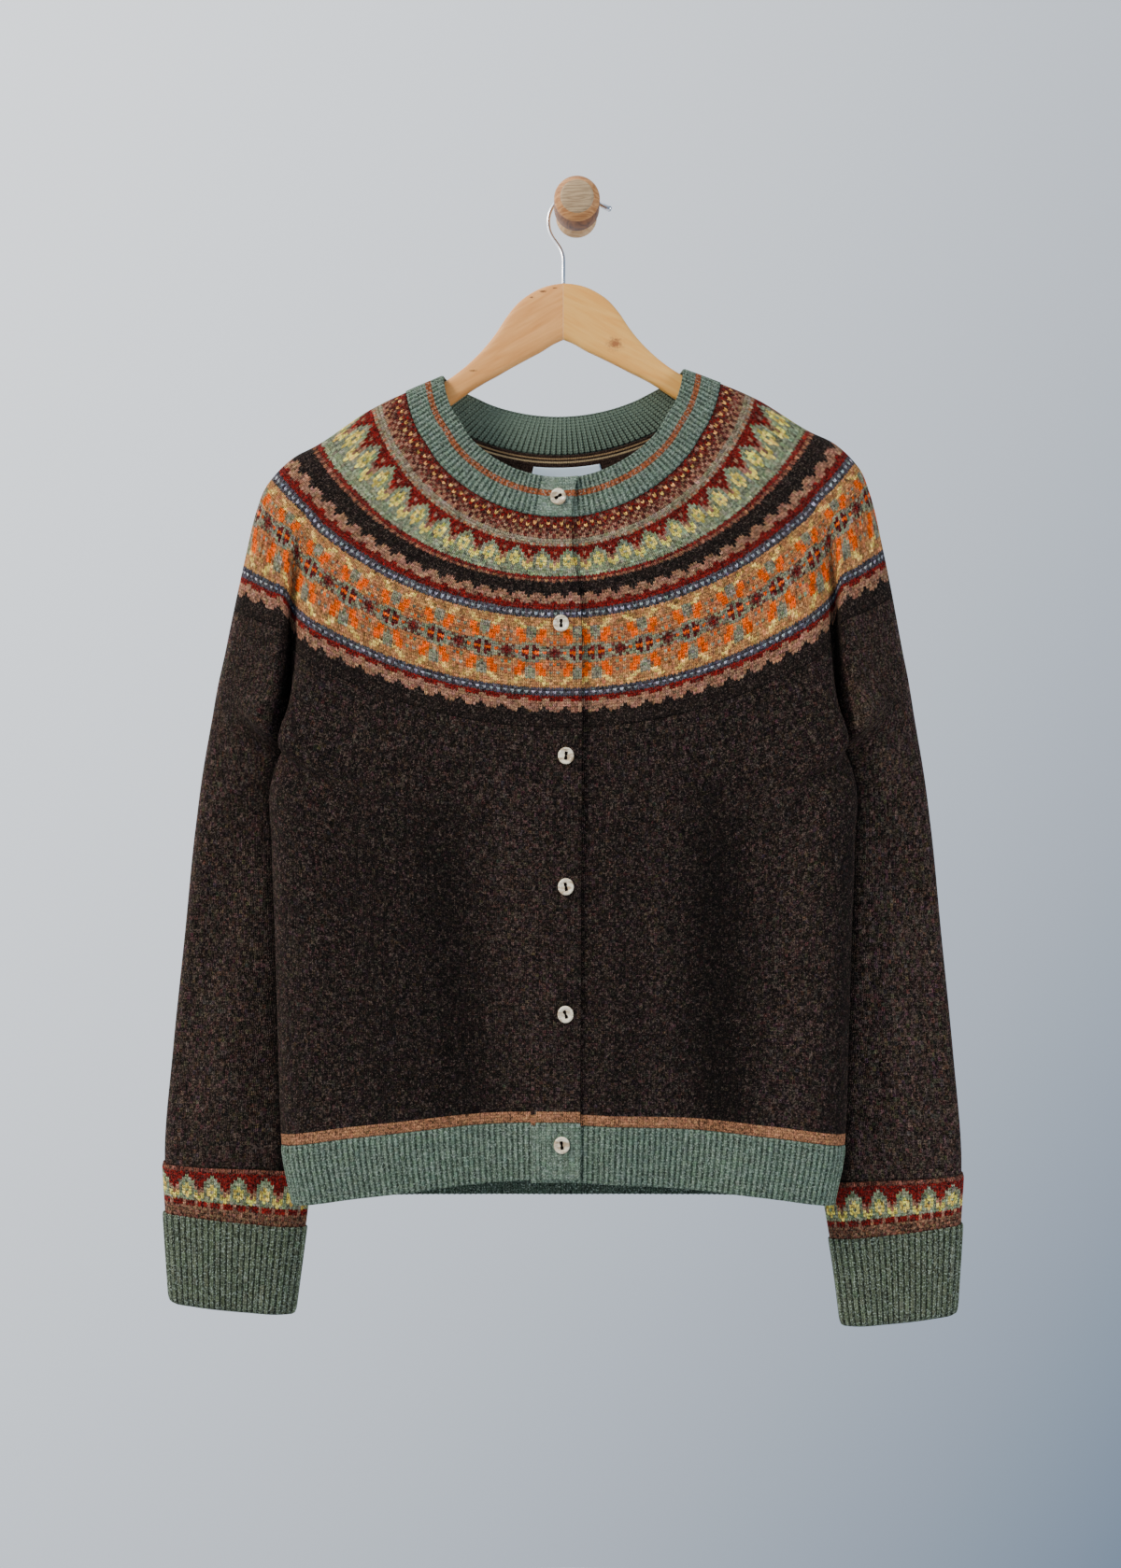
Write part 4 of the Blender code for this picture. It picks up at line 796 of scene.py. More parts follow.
def wool(name, fleck, pale, spun=0.45, plain=None, fuzz=(0.05, srgb(214, 205, 190)),
         fleck_light=None):
    """Woollen yarn.  spun: how uneven its tone is.  plain: one colour, not the knitting's own.

    fleck, pale: share and colour of the flecks.  fleck_light: their share on a light yarn, which
    is also spun more evenly.  fuzz: weight and colour of the pale halo of fibres.
    """
    yarn = Finish(name, 0.95)
    colour = plain or yarn.add("Attribute", {}, attribute_name="yarn")
    u, v = stitch_place(yarn)
    aside = yarn.sums("ABSOLUTE", yarn.sums("SUBTRACT", yarn.sums("FRACT", u), 0.5))
    leg = yarn.sums("SINE", yarn.sums("MULTIPLY", aside, 2.0 * math.pi))
    row = yarn.sums("FRACT", yarn.sums("ADD", v, yarn.sums("MULTIPLY", aside, 0.9)))
    bead = yarn.sums("SINE", yarn.sums("MULTIPLY", row, math.pi))
    knit = yarn.sums("MULTIPLY", leg, yarn.sums("POWER", bead, 0.6))
    where = yarn.place()
    fibre = yarn.noise(where, 1150.0, 2.0, 0.7)
    tuft = yarn.noise(yarn.place(at=(0.3, 0.7, 0.1)), 560.0, 2.0, 0.6)
    cloud = yarn.noise(where, 90.0, 3.0, 0.6)
    uneven = yarn.sums("ADD", yarn.spread(fibre, 0.34, 0.66, -spun, spun),
                       yarn.spread(tuft, 0.36, 0.64, -0.9 * spun, 0.9 * spun))
    most = fleck
    if not plain:
        depth = yarn.add("VectorMath", {0: colour}, 1, operation="LENGTH")
        uneven = yarn.sums("MULTIPLY", uneven, yarn.spread(depth, 0.05, 0.4, 1.0, 0.5))
        most = yarn.spread(depth, 0.05, 0.3, fleck, fleck if fleck_light is None else fleck_light)
        most = yarn.sums("MULTIPLY", most, yarn.spread(depth, 0.006, 0.026, 0.3, 1.1))
    shade = yarn.sums("ADD", uneven, yarn.spread(cloud, 0.3, 0.7, 0.88, 1.12))
    shade = yarn.sums("MAXIMUM", shade, 0.12)
    # painted shade of the stitches' relief: darker between the legs, paler on them
    shade = yarn.sums("MULTIPLY", shade, yarn.spread(knit, 0.0, 1.0, 0.5, 1.18))
    dyed = yarn.add("VectorMath", {0: colour, "Scale": shade}, operation="SCALE")
    loose = yarn.noise(yarn.place(at=(3.0, 1.0, 2.0)), 760.0, 1.0)
    flecks = yarn.sums("MULTIPLY", yarn.spread(loose, 0.57, 0.68), most)
    yarn.set(Base_Color=yarn.mix(flecks, dyed, pale),
             Sheen_Weight=fuzz[0], Sheen_Roughness=0.5, Sheen_Tint=fuzz[1],
             Specular_IOR_Level=0.1)
    height = yarn.sums("ADD", knit, yarn.sums("MULTIPLY", fibre, 0.8))
    yarn.bump(height, 1.0, STITCH_RELIEF)
    return yarn


def grid_mesh(zone):
    """The mesh of one zone, with its stitches and its colours, and its vertex numbers."""
    mesh, row, column = laid_grid(zone.points)
    numbers = np.zeros(zone.points.shape[:2], int)
    numbers[row, column] = np.arange(len(row))
    corner = np.zeros(len(mesh.loops), np.int32)
    mesh.loops.foreach_get("vertex_index", corner)
    row, column = row[corner], column[corner]
    stitches = mesh.uv_layers.new(name="stitches")
    stitches.uv.foreach_set("vector", zone.uv[row, column].astype(np.float32).ravel())
    row, column = (at.reshape(-1, 4).min(axis=1).repeat(4) for at in (row, column))
    rgba = np.ones((len(corner), 4), np.float32)
    rgba[:, :3] = zone.colours[row, column]
    yarn = mesh.color_attributes.new("yarn", "FLOAT_COLOR", "CORNER")
    yarn.data.foreach_set("color", rgba.ravel())
    return mesh, numbers


# A zone is a stretch of knitting with one count of stitches: points and uv for each row and
# column, and colours for each face between them.
Zone = namedtuple("Zone", "points uv colours")
MIDDLE_Y = -34.0         # the garment's middle, from its front to its back
WALL = 0.0020            # thickness of the fabric, in metres


def knitted(zones):
    """One bmesh of the zones, each joined to the next, with its faces outward."""
    bm = bmesh.new()
    ends = []
    for zone in zones:
        mesh, numbers = grid_mesh(zone)
        start = len(bm.verts)
        bm.from_mesh(mesh)
        bpy.data.meshes.remove(mesh)
        ends.append((start + numbers[0], start + numbers[-1]))
    bm.verts.ensure_lookup_table()
    uv, yarn = bm.loops.layers.uv["stitches"], bm.loops.layers.float_color["yarn"]
    for (_, above), (below, _) in zip(ends, ends[1:]):
        edges = [bm.edges.get((bm.verts[a], bm.verts[b]))
                 for line in (above, below) for a, b in zip(line, line[1:])]
        made = set(bmesh.ops.bridge_loops(bm, edges=edges)["faces"])
        for face in made:
            for loop in face.loops:
                old = next(other for other in loop.vert.link_loops if other.face not in made)
                loop[uv].uv = old[uv].uv
                loop[yarn] = old[yarn]
    bmesh.ops.remove_doubles(bm, verts=bm.verts, dist=0.004)
    bmesh.ops.recalc_face_normals(bm, faces=bm.faces)
    bm.faces.ensure_lookup_table()
    return bm


def cloth_piece(name, bm, finishes, node, thickness=WALL, offset=-1.0):
    """A piece of fabric, thickened inward from bm; a second finish is that of its inner side."""
    piece = finish_piece(name, bm, finishes, [node], None)
    solid = piece.modifiers.new("fabric", "SOLIDIFY")
    solid.thickness, solid.offset = thickness, offset
    solid.material_offset = len(finishes) - 1
    return piece


def outward(bm, way=1.0):
    """Turn the sheet's faces so that most look out of the garment, or into it where way is -1."""
    total = sum(face.calc_area() * face.normal.y * (face.calc_center_median().y - MIDDLE_Y)
                for face in list(bm.faces)[::7])
    if total * way < 0.0:
        bmesh.ops.reverse_faces(bm, faces=bm.faces)
    return bm


def heather(columns, rows, seed, depth):
    """The side and the stitch of each face between columns, and its uneven tones, row by row."""
    chance = np.random.default_rng(seed)
    number = np.floor(np.minimum(columns.stitch[1:], columns.stitch[:-1]) + 1e-6).astype(int)
    side = np.array(columns.side[1:])
    _, group = np.unique(np.stack([side, number]), axis=1, return_inverse=True)
    group = group.ravel()
    stitch = chance.normal(0.0, 0.8 * depth, (rows, group.max() + 1, 1))
    hue = chance.normal(0.0, 0.3 * depth, (rows, group.max() + 1, 3))
    leg = chance.normal(0.0, 0.6 * depth, (rows, len(group), 1))
    return side, number, np.exp(np.clip(stitch[:, group] + hue[:, group] + leg, -1.6, 1.1))


# ---------------------------------------------------------------- the neckband
# A double rib of sage wool, 30 mm deep, knitted on round the neck with a rust stripe near its
# lower third.  At the front it ends in a plain tab for the top button.

ROW = 2.15               # height of one row of stitches
NECK_RIB, RIB_RISE, RIB_STEPS = 3.85, 0.95, 6
PLAIN_RISE, RIB_TONES = 0.55, 0.1        # rise of plain knitting beside the ribs, uneven tone
NECK_PLAIN = (24.0, 34.0)        # plain length at the top and at the under end
NECK_ROWS = np.array([0.0, 0.35, 1.0, 2.2, 4.3, 6.4, 8.2, 10.0, 12.2, 14.4, 17.0, 19.6, 22.2, 24.8,
                      27.4, 29.9])
# The second sage is the painted shade of the ribs' furrows
SAGE, SAGE_FURROW_SHADE = np.array(srgb(140, 158, 138)), np.array(srgb(76, 92, 78))
RUST = srgb(188, 104, 62)
NECK_STRIPE = (10.0, 14.4)


def whole_ring(v, width, per):
    """Columns right round the garment, from the front edge that shows to the under edge."""
    return spaced([("front", -1, -1.0, 0.0), ("front", -1, 0.0, 4.0), ("sleeve", -1, 0.0, 10.0),
                   ("back", -1, 0.0, 4.0), ("back", 1, 4.0, 0.0), ("sleeve", 1, 10.0, 0.0),
                   ("front", 1, 4.0, 0.0), ("front", 1, 0.0, -1.0)], v, width, per=per)


def rib_height(t):
    """Rise of a rib at t, where each whole number is the middle of a furrow."""
    return np.sin(math.pi * t) ** 2


def ribbed(columns, v, plain, colour, dark, seed, stripes=(), fade_rows=1.0, lift=0.0, corner=0.0):
    """A zone of rib over rows v, its colour darkened towards dark in the furrows as painted shade.

    plain: from 0, full rib, to 1, plain knitting, for each column.  fade_rows: how much of its
    rise each row has.  corner: how far each column ends short of the last row.
    """
    v, t = np.asarray(v, float), columns.stitch
    rise = RIB_RISE * rib_height(t) * (1.0 - plain) + PLAIN_RISE * plain
    shape = np.broadcast_to(fade_rows, v.shape)[:, None]
    down_to = ((v - v[0]) / (v[-1] - v[0]))[:, None] ** 2
    points = read(columns, v[:, None] - np.broadcast_to(corner, t.shape) * down_to,
                  lift + shape * rise)
    uv = np.stack(np.broadcast_arrays(2.0 * t - 0.5, v[:, None] / ROW), axis=2)
    level = (plain[1:] + plain[:-1]) / 2.0
    shade = 0.9 * level + (1.0 - level) * rib_height((t[1:] + t[:-1]) / 2.0)
    shade = shade[None, :, None]
    # painted shade: the colour darkens from the ridges into the furrows
    faces = np.repeat(dark + (colour - dark) * shade, len(v) - 1, axis=0)
    for top, end, other in stripes:
        inside = (v[:-1] >= top - 0.01) & (v[1:] <= end + 0.01)
        # the stripe is darkened in the furrows too, as painted shade
        faces[inside] = np.array(other) * (0.5 + 0.5 * shade)
    return Zone(points, uv, faces * heather(columns, len(v) - 1, seed, RIB_TONES)[2])


sage_wool = wool("sage_lambswool", 0.5, srgb(186, 200, 184), 0.6, fuzz=(0.06, srgb(190, 205, 188)))
sage_inside = wool("sage_lambswool_inside", 0.4, srgb(160, 176, 158), plain=srgb(72, 88, 73))
# On the inner side the furrows stand out as narrow ridges: the plain colour is their painted shade,
# with a painted highlight laid along each ridge
painted_ridge_light = sage_inside.sums("ADD", stitch_place(sage_inside)[0], 0.5)
painted_ridge_light = sage_inside.sums("COSINE", sage_inside.sums("MULTIPLY", painted_ridge_light, math.pi))
sage_inside.overlay(sage_inside.spread(painted_ridge_light, 0.3, 1.0, 0.0, 0.75), srgb(132, 149, 130))
columns = whole_ring(15.0, NECK_RIB, RIB_STEPS)
length = columns.stitch * NECK_RIB
plain = 0.85 * ((length < NECK_PLAIN[0]) | (length > length[-1] - NECK_PLAIN[1]))
rounded = np.minimum(1.0, 0.25 + NECK_ROWS / 1.6)
zone = ribbed(columns, NECK_ROWS, plain, SAGE, SAGE_FURROW_SHADE, 11, [(*NECK_STRIPE, RUST)], rounded)
neckband = cloth_piece("rib_neckband", outward(knitted([zone])), [sage_wool, sage_inside],
                       "neckband")


# ---------------------------------------------------------------- the patterned yoke
# One round of stranded knitting, 215 mm deep, worked from a chart: seeding, small peaks and
# flowers, scallops, a broad field of leaves, and scallops again.  The stitches grow in number at
# three rows, where the plain colour hides the increase.

YOKE_END_V = 245.0
YOKE_TONES = 0.26        # how uneven the yarns' tones are, from stitch to stitch
YOKE_ROWS = [0.0, 12.39, 22.43, 28.1, 37.2, 49.2, 61.9, 76.0]
YOKE_ROW_V = [30.0, 64.0, 98.0, 115.0, 138.0, 170.0, 208.0, 245.0]
YARNS = {
    "d": (98, 42, 34), "r": (116, 22, 17), "t": (160, 114, 88), "y": (240, 176, 96),
    "h": (154, 138, 112), "c": (158, 102, 74), "g": (140, 146, 114), "u": (242, 216, 104),
    "R": (120, 34, 28), "k": (108, 64, 50), "b": (34, 25, 21), "s": (74, 70, 76),
    "w": (168, 170, 178), "f": (186, 130, 80), "F": (192, 122, 74), "o": (255, 98, 0),
    "p": (255, 206, 108), "G": (140, 136, 110), "m": (92, 24, 24), "e": (240, 92, 16),
    "a": (176, 104, 66), "n": (122, 88, 66),
}
# Each row of the chart is one repeat, read outward from the button edge.
SEEDING = ["rdrd", "drdt", "ydrd", "rdyd", "dtdd", "tdtd", "dtdt", "ttdt", "h"]
PEAKS = ["h", "hc", "rrrrrrrr", "grrrrrrr", "ggrrtrrg", "uggrrrgg", "uugtrtgu", "gugttggu",
         "uugutugu", "ugguuugg", "gggguggg", "g", "g", "R", "ck", "b", "b"]
SCALLOPS = ["b", "b", "btttbb", "tttttb", "tttttt", "ttrrtt", "r", "r", "s", "ws", "s"]
FIELD = ["ffffffffffffff", "ffppfffffffppf", "fffppfffffppff", "ffffppGGGppfff",
         "aFFooFGGGFooFF", "FGFooFGGGFooFG", "aFFoooGGGoooFF", "FFaFooFGFooFaF",
         "eGFFooFFFooFFG", "FaFFFGGGGGFFFa", "kGkGGGmGmGGGkG", "mkGGGmmGmmGGGk",
         "rmkeGeeGeeGekm"]
FIELD = FIELD + FIELD[-2::-1]
LOWER = ["ws", "s", "r", "rrrrtt", "t", "t", "tttttb", "btttbb", "b", "b", "b", "b", "b"]
# The chart's zones with the number of stitches in half a round.
YOKE_ZONES = [(SEEDING, 132), (PEAKS, 160), (SCALLOPS + FIELD + ["s"], 212), (LOWER, 228)]
SHIFTS = {8: (2, -2), 14: (-2, -2)}      # where a repeat starts, on the left and on the right
# Rows of the neck's seam on the wrong side: from and to, in rows of the chart, and the colour
SEAM_ROWS = [(0.9, 1.5, (170, 138, 98)), (2.0, 2.7, (206, 178, 134))]
VEE = 0.45               # how far a stitch's legs rise above its middle, in rows


def half_round(side, v, count):
    """Columns of half a round in one zone: the lap, the front, the sleeve and the back."""
    legs = [("front", side, 0.0, 4.0), ("sleeve", side, 0.0, 5.0), ("sleeve", side, 5.0, 10.0),
            ("back", side, 0.0, 4.0)]
    lengths = [along_leg(leg, v)[1][-1] for leg in legs]
    width = sum(lengths) / count
    counts = [round(length / width) for length in lengths[:-1]]
    counts.append(count - sum(counts))
    lap = max(2, round((np.interp(v, LAP_V, LAP_X) if side < 0 else UNDER_LAP) / width))
    parts = [spaced([("front", side, -1.0, 0.0)], v, count=lap, first=-lap)]
    done = 0
    for leg, number, per in zip(legs, counts, (2, 2, 1, 1)):     # one face a stitch behind
        parts.append(spaced([leg], v, count=number, per=per, first=done))
        done += number
    return joined(*parts)


def charted(columns, first_row, repeats, row_v, seed):
    """A zone of stranded knitting: its rows of V-shaped stitches in the chart's colours."""
    rows = len(repeats)
    level = np.arange(first_row, first_row + rows + 1, dtype=float)
    raised = np.zeros((rows + 1, len(columns.stitch)))
    raised[1:-1] = VEE * (np.abs(columns.stitch - np.rint(columns.stitch)) < 0.01)
    raised[1:-1] += np.random.default_rng(seed).normal(0.0, 0.15, raised[1:-1].shape)
    level = level[:, None] - raised
    level[0] += 0.04
    level[-1] -= 0.04
    uv = np.stack(np.broadcast_arrays(columns.stitch, level), axis=2)
    side, number, tones = heather(columns, rows, seed, YOKE_TONES)
    faces = np.zeros((rows, len(number), 3))
    for r, repeat in enumerate(repeats):
        shift = SHIFTS.get(len(repeat), (0, 0))
        column = (number + np.where(side < 0, *shift)) % len(repeat)
        faces[r] = np.array([srgb(*YARNS[code]) for code in repeat])[column]
    return Zone(read(columns, row_v(level)), uv, faces * tones)


def yoke_v(row):
    """How far down the garment a row of the yoke's chart lies."""
    return np.interp(row, YOKE_ROWS, YOKE_ROW_V)


zones, done = [], 0
for k, (repeats, count) in enumerate(YOKE_ZONES):
    middle = float(yoke_v(done + len(repeats) / 2.0))
    left, right = (half_round(side, middle, count) for side in (-1, 1))
    zones.append(charted(joined(left, turned_about(right)), done, repeats, yoke_v, 20 + k))
    done += len(repeats)
pattern_wool = wool("stranded_lambswool", 0.42, srgb(124, 106, 94), 0.8,
                    fuzz=(0.02, srgb(214, 190, 160)), fleck_light=0.05)
# The wrong side is plain dark brown, with two pale picked-up rows of the neck's seam
yoke_inside = wool("yoke_wrong_side", 0.2, srgb(128, 104, 84), plain=srgb(62, 46, 38))
row = stitch_place(yoke_inside)[1]
for top, end, tone in SEAM_ROWS:
    half = (end - top) / 2.0
    near = yoke_inside.sums("ABSOLUTE", yoke_inside.sums("SUBTRACT", row, top + half))
    yoke_inside.overlay(yoke_inside.spread(near, half, half - 0.12), srgb(*tone))
yoke = cloth_piece("stranded_yoke", outward(knitted(zones)), [pattern_wool, yoke_inside], "yoke")


# ---------------------------------------------------------------- the neck label
# A blank woven satin label in a pale blue white, sewn inside the back of the neck below the rib.

LABEL_W, LABEL_H, LABEL_TOP, LABEL_X = 56.0, 22.0, 41.5, 3.0
LABEL_DEPTH, LABEL_THICK = 2.45, 0.0006
LABEL_SAG, LABEL_WAVES = 0.3, 1.5        # it is a little wavy towards its lower edge

x = np.linspace(LABEL_X - LABEL_W / 2.0, LABEL_X + LABEL_W / 2.0, 33)
v = np.linspace(LABEL_TOP, LABEL_TOP + LABEL_H, 15)[:, None]
net = net_at("back", np.array([LABEL_TOP + LABEL_H / 2.0]))
base = 4.0 - np.abs(x) / np.linalg.norm(net[0, 5] - net[0, 4])
columns = Columns(["back"] * len(x), [-1 if at < 0.0 else 1 for at in x], base, x / 0.7)
sag = LABEL_SAG * np.sin(np.linspace(0.0, 2.0 * math.pi * LABEL_WAVES, len(x))) * (v - v[0]) / 24.0
points = read(columns, v, -LABEL_DEPTH - np.abs(sag))
uv = np.stack(np.broadcast_arrays(columns.stitch, v / 0.5), axis=2)
tones = np.ones((len(v) - 1, len(x) - 1, 3)) * srgb(240, 248, 255)
satin = Finish("label_satin", 0.55)
satin.set(Base_Color=srgb(226, 244, 255), Sheen_Weight=1.0, Sheen_Tint=srgb(190, 218, 255))
satin.bump(satin.noise(satin.place((1.0, 1.0, 6.0)), 700.0), 0.2, 0.0002)
label = cloth_piece("blank_label", outward(knitted([Zone(points, uv, tones)]), -1.0), [satin],
                    "neck_label", LABEL_THICK, 1.0)


# ---------------------------------------------------------------- the two fronts
# Plain knitting in dark brown heather wool.  Each front turns back along a facing whose edge
# shows as a shallow groove, and ends above the hem in a narrow rust stripe.

RIB_V = 618.4
STITCH, STITCH_V = 2.6, 440.0    # width of one stitch, and where it is measured
BROWN, PLAIN_TONES = srgb(38, 28, 24), 0.5
STRIPE_V = 610.0         # the rust stripe starts here
HEM_RUST = srgb(170, 118, 84)
SHOWN_LAP = 13.0         # the lap of the front that shows, at this v
FACING, GROOVE = 6.5, 0.55       # the facing's edge, in stitches from the middle line, its depth
# Painted shade and painted light of the soft folds, which the soft lamps alone leave too weak:
# x at the top and at the hem, half width and how much darker, or paler where it is below zero.
FOLD_SHADES = [(-166.0, -132.0, 19.0, 0.34), (-110.0, -68.0, 32.0, 0.55), (-52.0, -20.0, 26.0, -0.40),
       (40.0, 34.0, 16.0, 0.20), (66.0, 58.0, 18.0, -0.30), (100.0, 112.0, 30.0, 0.72),
       (160.0, 152.0, 20.0, -0.38), (206.0, 190.0, 12.0, 0.40)]
FOLD_SHADE_FROM, FOLD_SHADE_FULL, FOLD_SHADE_END = -400.0, -500.0, -860.0


def painted_fold_shade(points):
    """Painted shade and painted light of the soft folds: the share of its tone that the wool keeps at
    each point, darker below 1, paler above.
    """
    x, z = points[..., 0], points[..., 2]
    fall = np.clip((FOLD_SHADE_FROM - z) / (FOLD_SHADE_FROM - FOLD_SHADE_END), 0.0, 1.0)
    reach = fade(FOLD_SHADE_FROM, FOLD_SHADE_FULL, z)
    tone = np.ones(x.shape)
    for top, end, wide, dark in FOLD_SHADES:
        tone -= dark * reach * np.exp(-((x - (top + (end - top) * fall)) / wide) ** 2)
    return np.maximum(tone, 0.2)[..., None]


def plain_knit(columns, v, colour, seed, lift=0.0, stripes=(), painted_shade=None):
    """A zone of plain knitting at v[row, column], with stripes (from, to, colour).

    The last argument, a function, gives the tone of painted shade and painted light at the points
    that it gets.
    """
    v = np.broadcast_to(v, (len(v), len(columns.base)))
    points = read(columns, v, lift)
    uv = np.stack(np.broadcast_arrays(columns.stitch, v / ROW), axis=2)
    tones = heather(columns, len(v) - 1, seed, PLAIN_TONES)[2]
    faces = np.zeros(tones.shape) + colour
    if painted_shade:
        # painted shade and painted light, multiplied into the tones
        tones = tones * painted_shade((points[1:, 1:] + points[:-1, :-1]) / 2.0)
    for top, end, other in stripes:
        middle = (v[1:, 1:] + v[:-1, :-1]) / 2.0
        inside = (middle > top) & (middle < end)
        faces[inside] = other
        tones[inside] = tones[inside] ** 0.25
    return Zone(points, uv, faces * tones)


brown_wool = wool("brown_lambswool", 0.42, srgb(124, 106, 94), 1.15,
                  fuzz=(0.10, srgb(150, 126, 110)), fleck_light=0.08)
body_rows = np.append(np.linspace(YOKE_END_V + 0.1, STRIPE_V, 121),
                      [612.1, 614.2, 616.3, RIB_V - 0.1])[:, None]
for side, name, node, lap in ((-1, "buttonhole_front", "front_right", SHOWN_LAP),
                              (1, "button_front", "front_left", UNDER_LAP)):
    lap = round(lap / STITCH)
    columns = joined(spaced([("front", side, -1.0, 0.0)], STITCH_V, count=lap, first=-lap),
                     spaced([("front", side, 0.0, 4.0)], STITCH_V, STITCH))
    groove = -GROOVE * np.exp(-((columns.stitch - FACING) / 0.5) ** 2) * (side < 0)
    # the fronts' tones carry the painted shade and painted light of their soft folds
    zone = plain_knit(columns, body_rows, BROWN, 40 + side, groove, [(STRIPE_V, RIB_V, HEM_RUST)],
                      painted_fold_shade)
    front = cloth_piece(name, outward(knitted([zone])), [brown_wool], node)


# ---------------------------------------------------------------- the back
# One panel of the same brown knitting, hanging from the yoke with two soft folds.

left = spaced([("back", -1, 0.0, 4.0)], STITCH_V, STITCH, per=1)
right = spaced([("back", 1, 4.0, 0.0)], STITCH_V, STITCH, per=1, first=left.stitch[-1])
zone = plain_knit(joined(left, right), body_rows, BROWN, 45, stripes=[(STRIPE_V, RIB_V, HEM_RUST)])
back = cloth_piece("back_panel", outward(knitted([zone])), [brown_wool], "back")


# ---------------------------------------------------------------- the hem ribs
# Ribs of sage wool, 46 mm deep, one on each front and one on the back.  The front that shows has
# a plain tab at its edge for the last button.

HEM_V, HEM_RIB = 664.5, 4.25
HEM_CORNER = 4.0         # radius of the corner of the front that shows
HEM_SAGE = np.array([0.86, 0.88, 0.86])      # a little cooler than the neckband
HEM_ROWS = np.array([RIB_V + 0.1, 619.6, 621.6, 624.8, 628.4, 632.0, 635.6, 639.2, 642.8, 646.4,
                     650.0, 653.6, 657.2, 660.4, 662.6, 663.8, 664.3, HEM_V])
# plain: length of the plain tab at the edge.  corner: 1 where the tab's corner is rounded.
Hem = namedtuple("Hem", "name node legs plain corner wide above")
HEMS = [
    Hem("hem_rib_buttonhole_side", "hem_front_right",
        [("front", -1, -1.0, 0.0), ("front", -1, 0.0, 4.0)], 28.0, 1.0, 0.24, "buttonhole_front"),
    Hem("hem_rib_button_side", "hem_front_left",
        [("front", 1, -1.0, 0.0), ("front", 1, 0.0, 4.0)], 30.0, 0.0, 0.24, "button_front"),
    Hem("hem_rib_back", "hem_back",
        [("back", -1, 0.0, 4.0), ("back", 1, 4.0, 0.0)], 0.0, 0.0, 0.44, "back_panel"),
]
opening = np.clip((HEM_ROWS - RIB_V) / 2.5, 0.0, 1.0)    # the ribs rise below the seam
closing = np.clip((HEM_V - HEM_ROWS) / 1.4, 0.0, 1.0)    # and sink at the lower edge
for hem in HEMS:
    columns = spaced(hem.legs, RIB_V, HEM_RIB, per=RIB_STEPS)
    reach = columns.stitch * HEM_RIB
    short = np.clip(1.0 - reach / HEM_CORNER, 0.0, 1.0) * hem.corner
    zone = ribbed(columns, HEM_ROWS, 0.5 * (reach < hem.plain), HEM_SAGE * SAGE,
                  HEM_SAGE * SAGE_FURROW_SHADE, 50 + len(hem.node), fade_rows=opening * (0.2 + 0.8 * closing),
                  corner=HEM_CORNER * (1.0 - np.sqrt(1.0 - short ** 2)))
    rib = cloth_piece(hem.name, outward(knitted([zone])), [sage_wool], hem.node)


# ---------------------------------------------------------------- the sleeves
# Long tubes of brown knitting that hang straight from the yoke, painted lighter than the body
# where the light falls on them.  Above each cuff runs a narrow band of peaks and flowers, charted
# like the yoke's.

CUFF_TOP_V, SLEEVE_END_V = 697.0, 706.0
BAND_OUTER_V, BAND_INNER_V = 653.0, 662.0
BAND = ["k", "rrrrrrrr", "grrrrrrr", "ggrrrrrg", "gggrrrgg", "uggrrrgg", "uugtrtgu", "gugttggu",
        "uugutugu", "ugguuugg", "gggguggg", "rrrt", "rrrt", "n", "kn", "n", "nk", "k", "k", "k",
        "k"]
SLEEVE_BROWN_PAINTED_LIGHTER = np.array(srgb(51, 39, 33))    # painted light: lighter than the body's brown, for the light on the sleeves' rounded tops
SLEEVE_PAINTED_LIGHT = {-1: 1.0, 1: 1.22}     # painted lighter still on the side away from the window, where the light falls flatter
# Painted shadow on the sleeve beside the body's side: how dark it is, and how far out it reaches
BODY_SHADOW, BODY_SHADOW_REACH = 0.85, 8.0     # how dark the sleeve is against the body, and how far out
SLEEVE_V = 560.0         # where the sleeve's stitches are measured
BAND_SEEN = 17           # rows of the band above the cuff


def painted_shadow_against_body(points, side):
    """Painted shadow on a sleeve where it hangs against the body's side, in the crease between them.
    """
    v = np.linspace(YOKE_END_V, RIB_V, 60)
    edge = surface("front", side, np.full(len(v), 4.0), v)
    body_x = np.interp(-points[..., 2], -edge[:, 2], edge[:, 0])
    out = np.maximum(side * (points[..., 0] - body_x), 0.0) / BODY_SHADOW_REACH
    return (1.0 - BODY_SHADOW * np.exp(-out ** 2))[..., None]


def band_v(level, top):
    """How far down a row of the band lies: level ones under the cuff, sloping ones above it."""
    hidden = (level - BAND_SEEN) / (len(BAND) - BAND_SEEN)
    return np.where(level < BAND_SEEN, top + (CUFF_TOP_V - top) * level / BAND_SEEN,
                    CUFF_TOP_V + (SLEEVE_END_V - CUFF_TOP_V) * hidden)


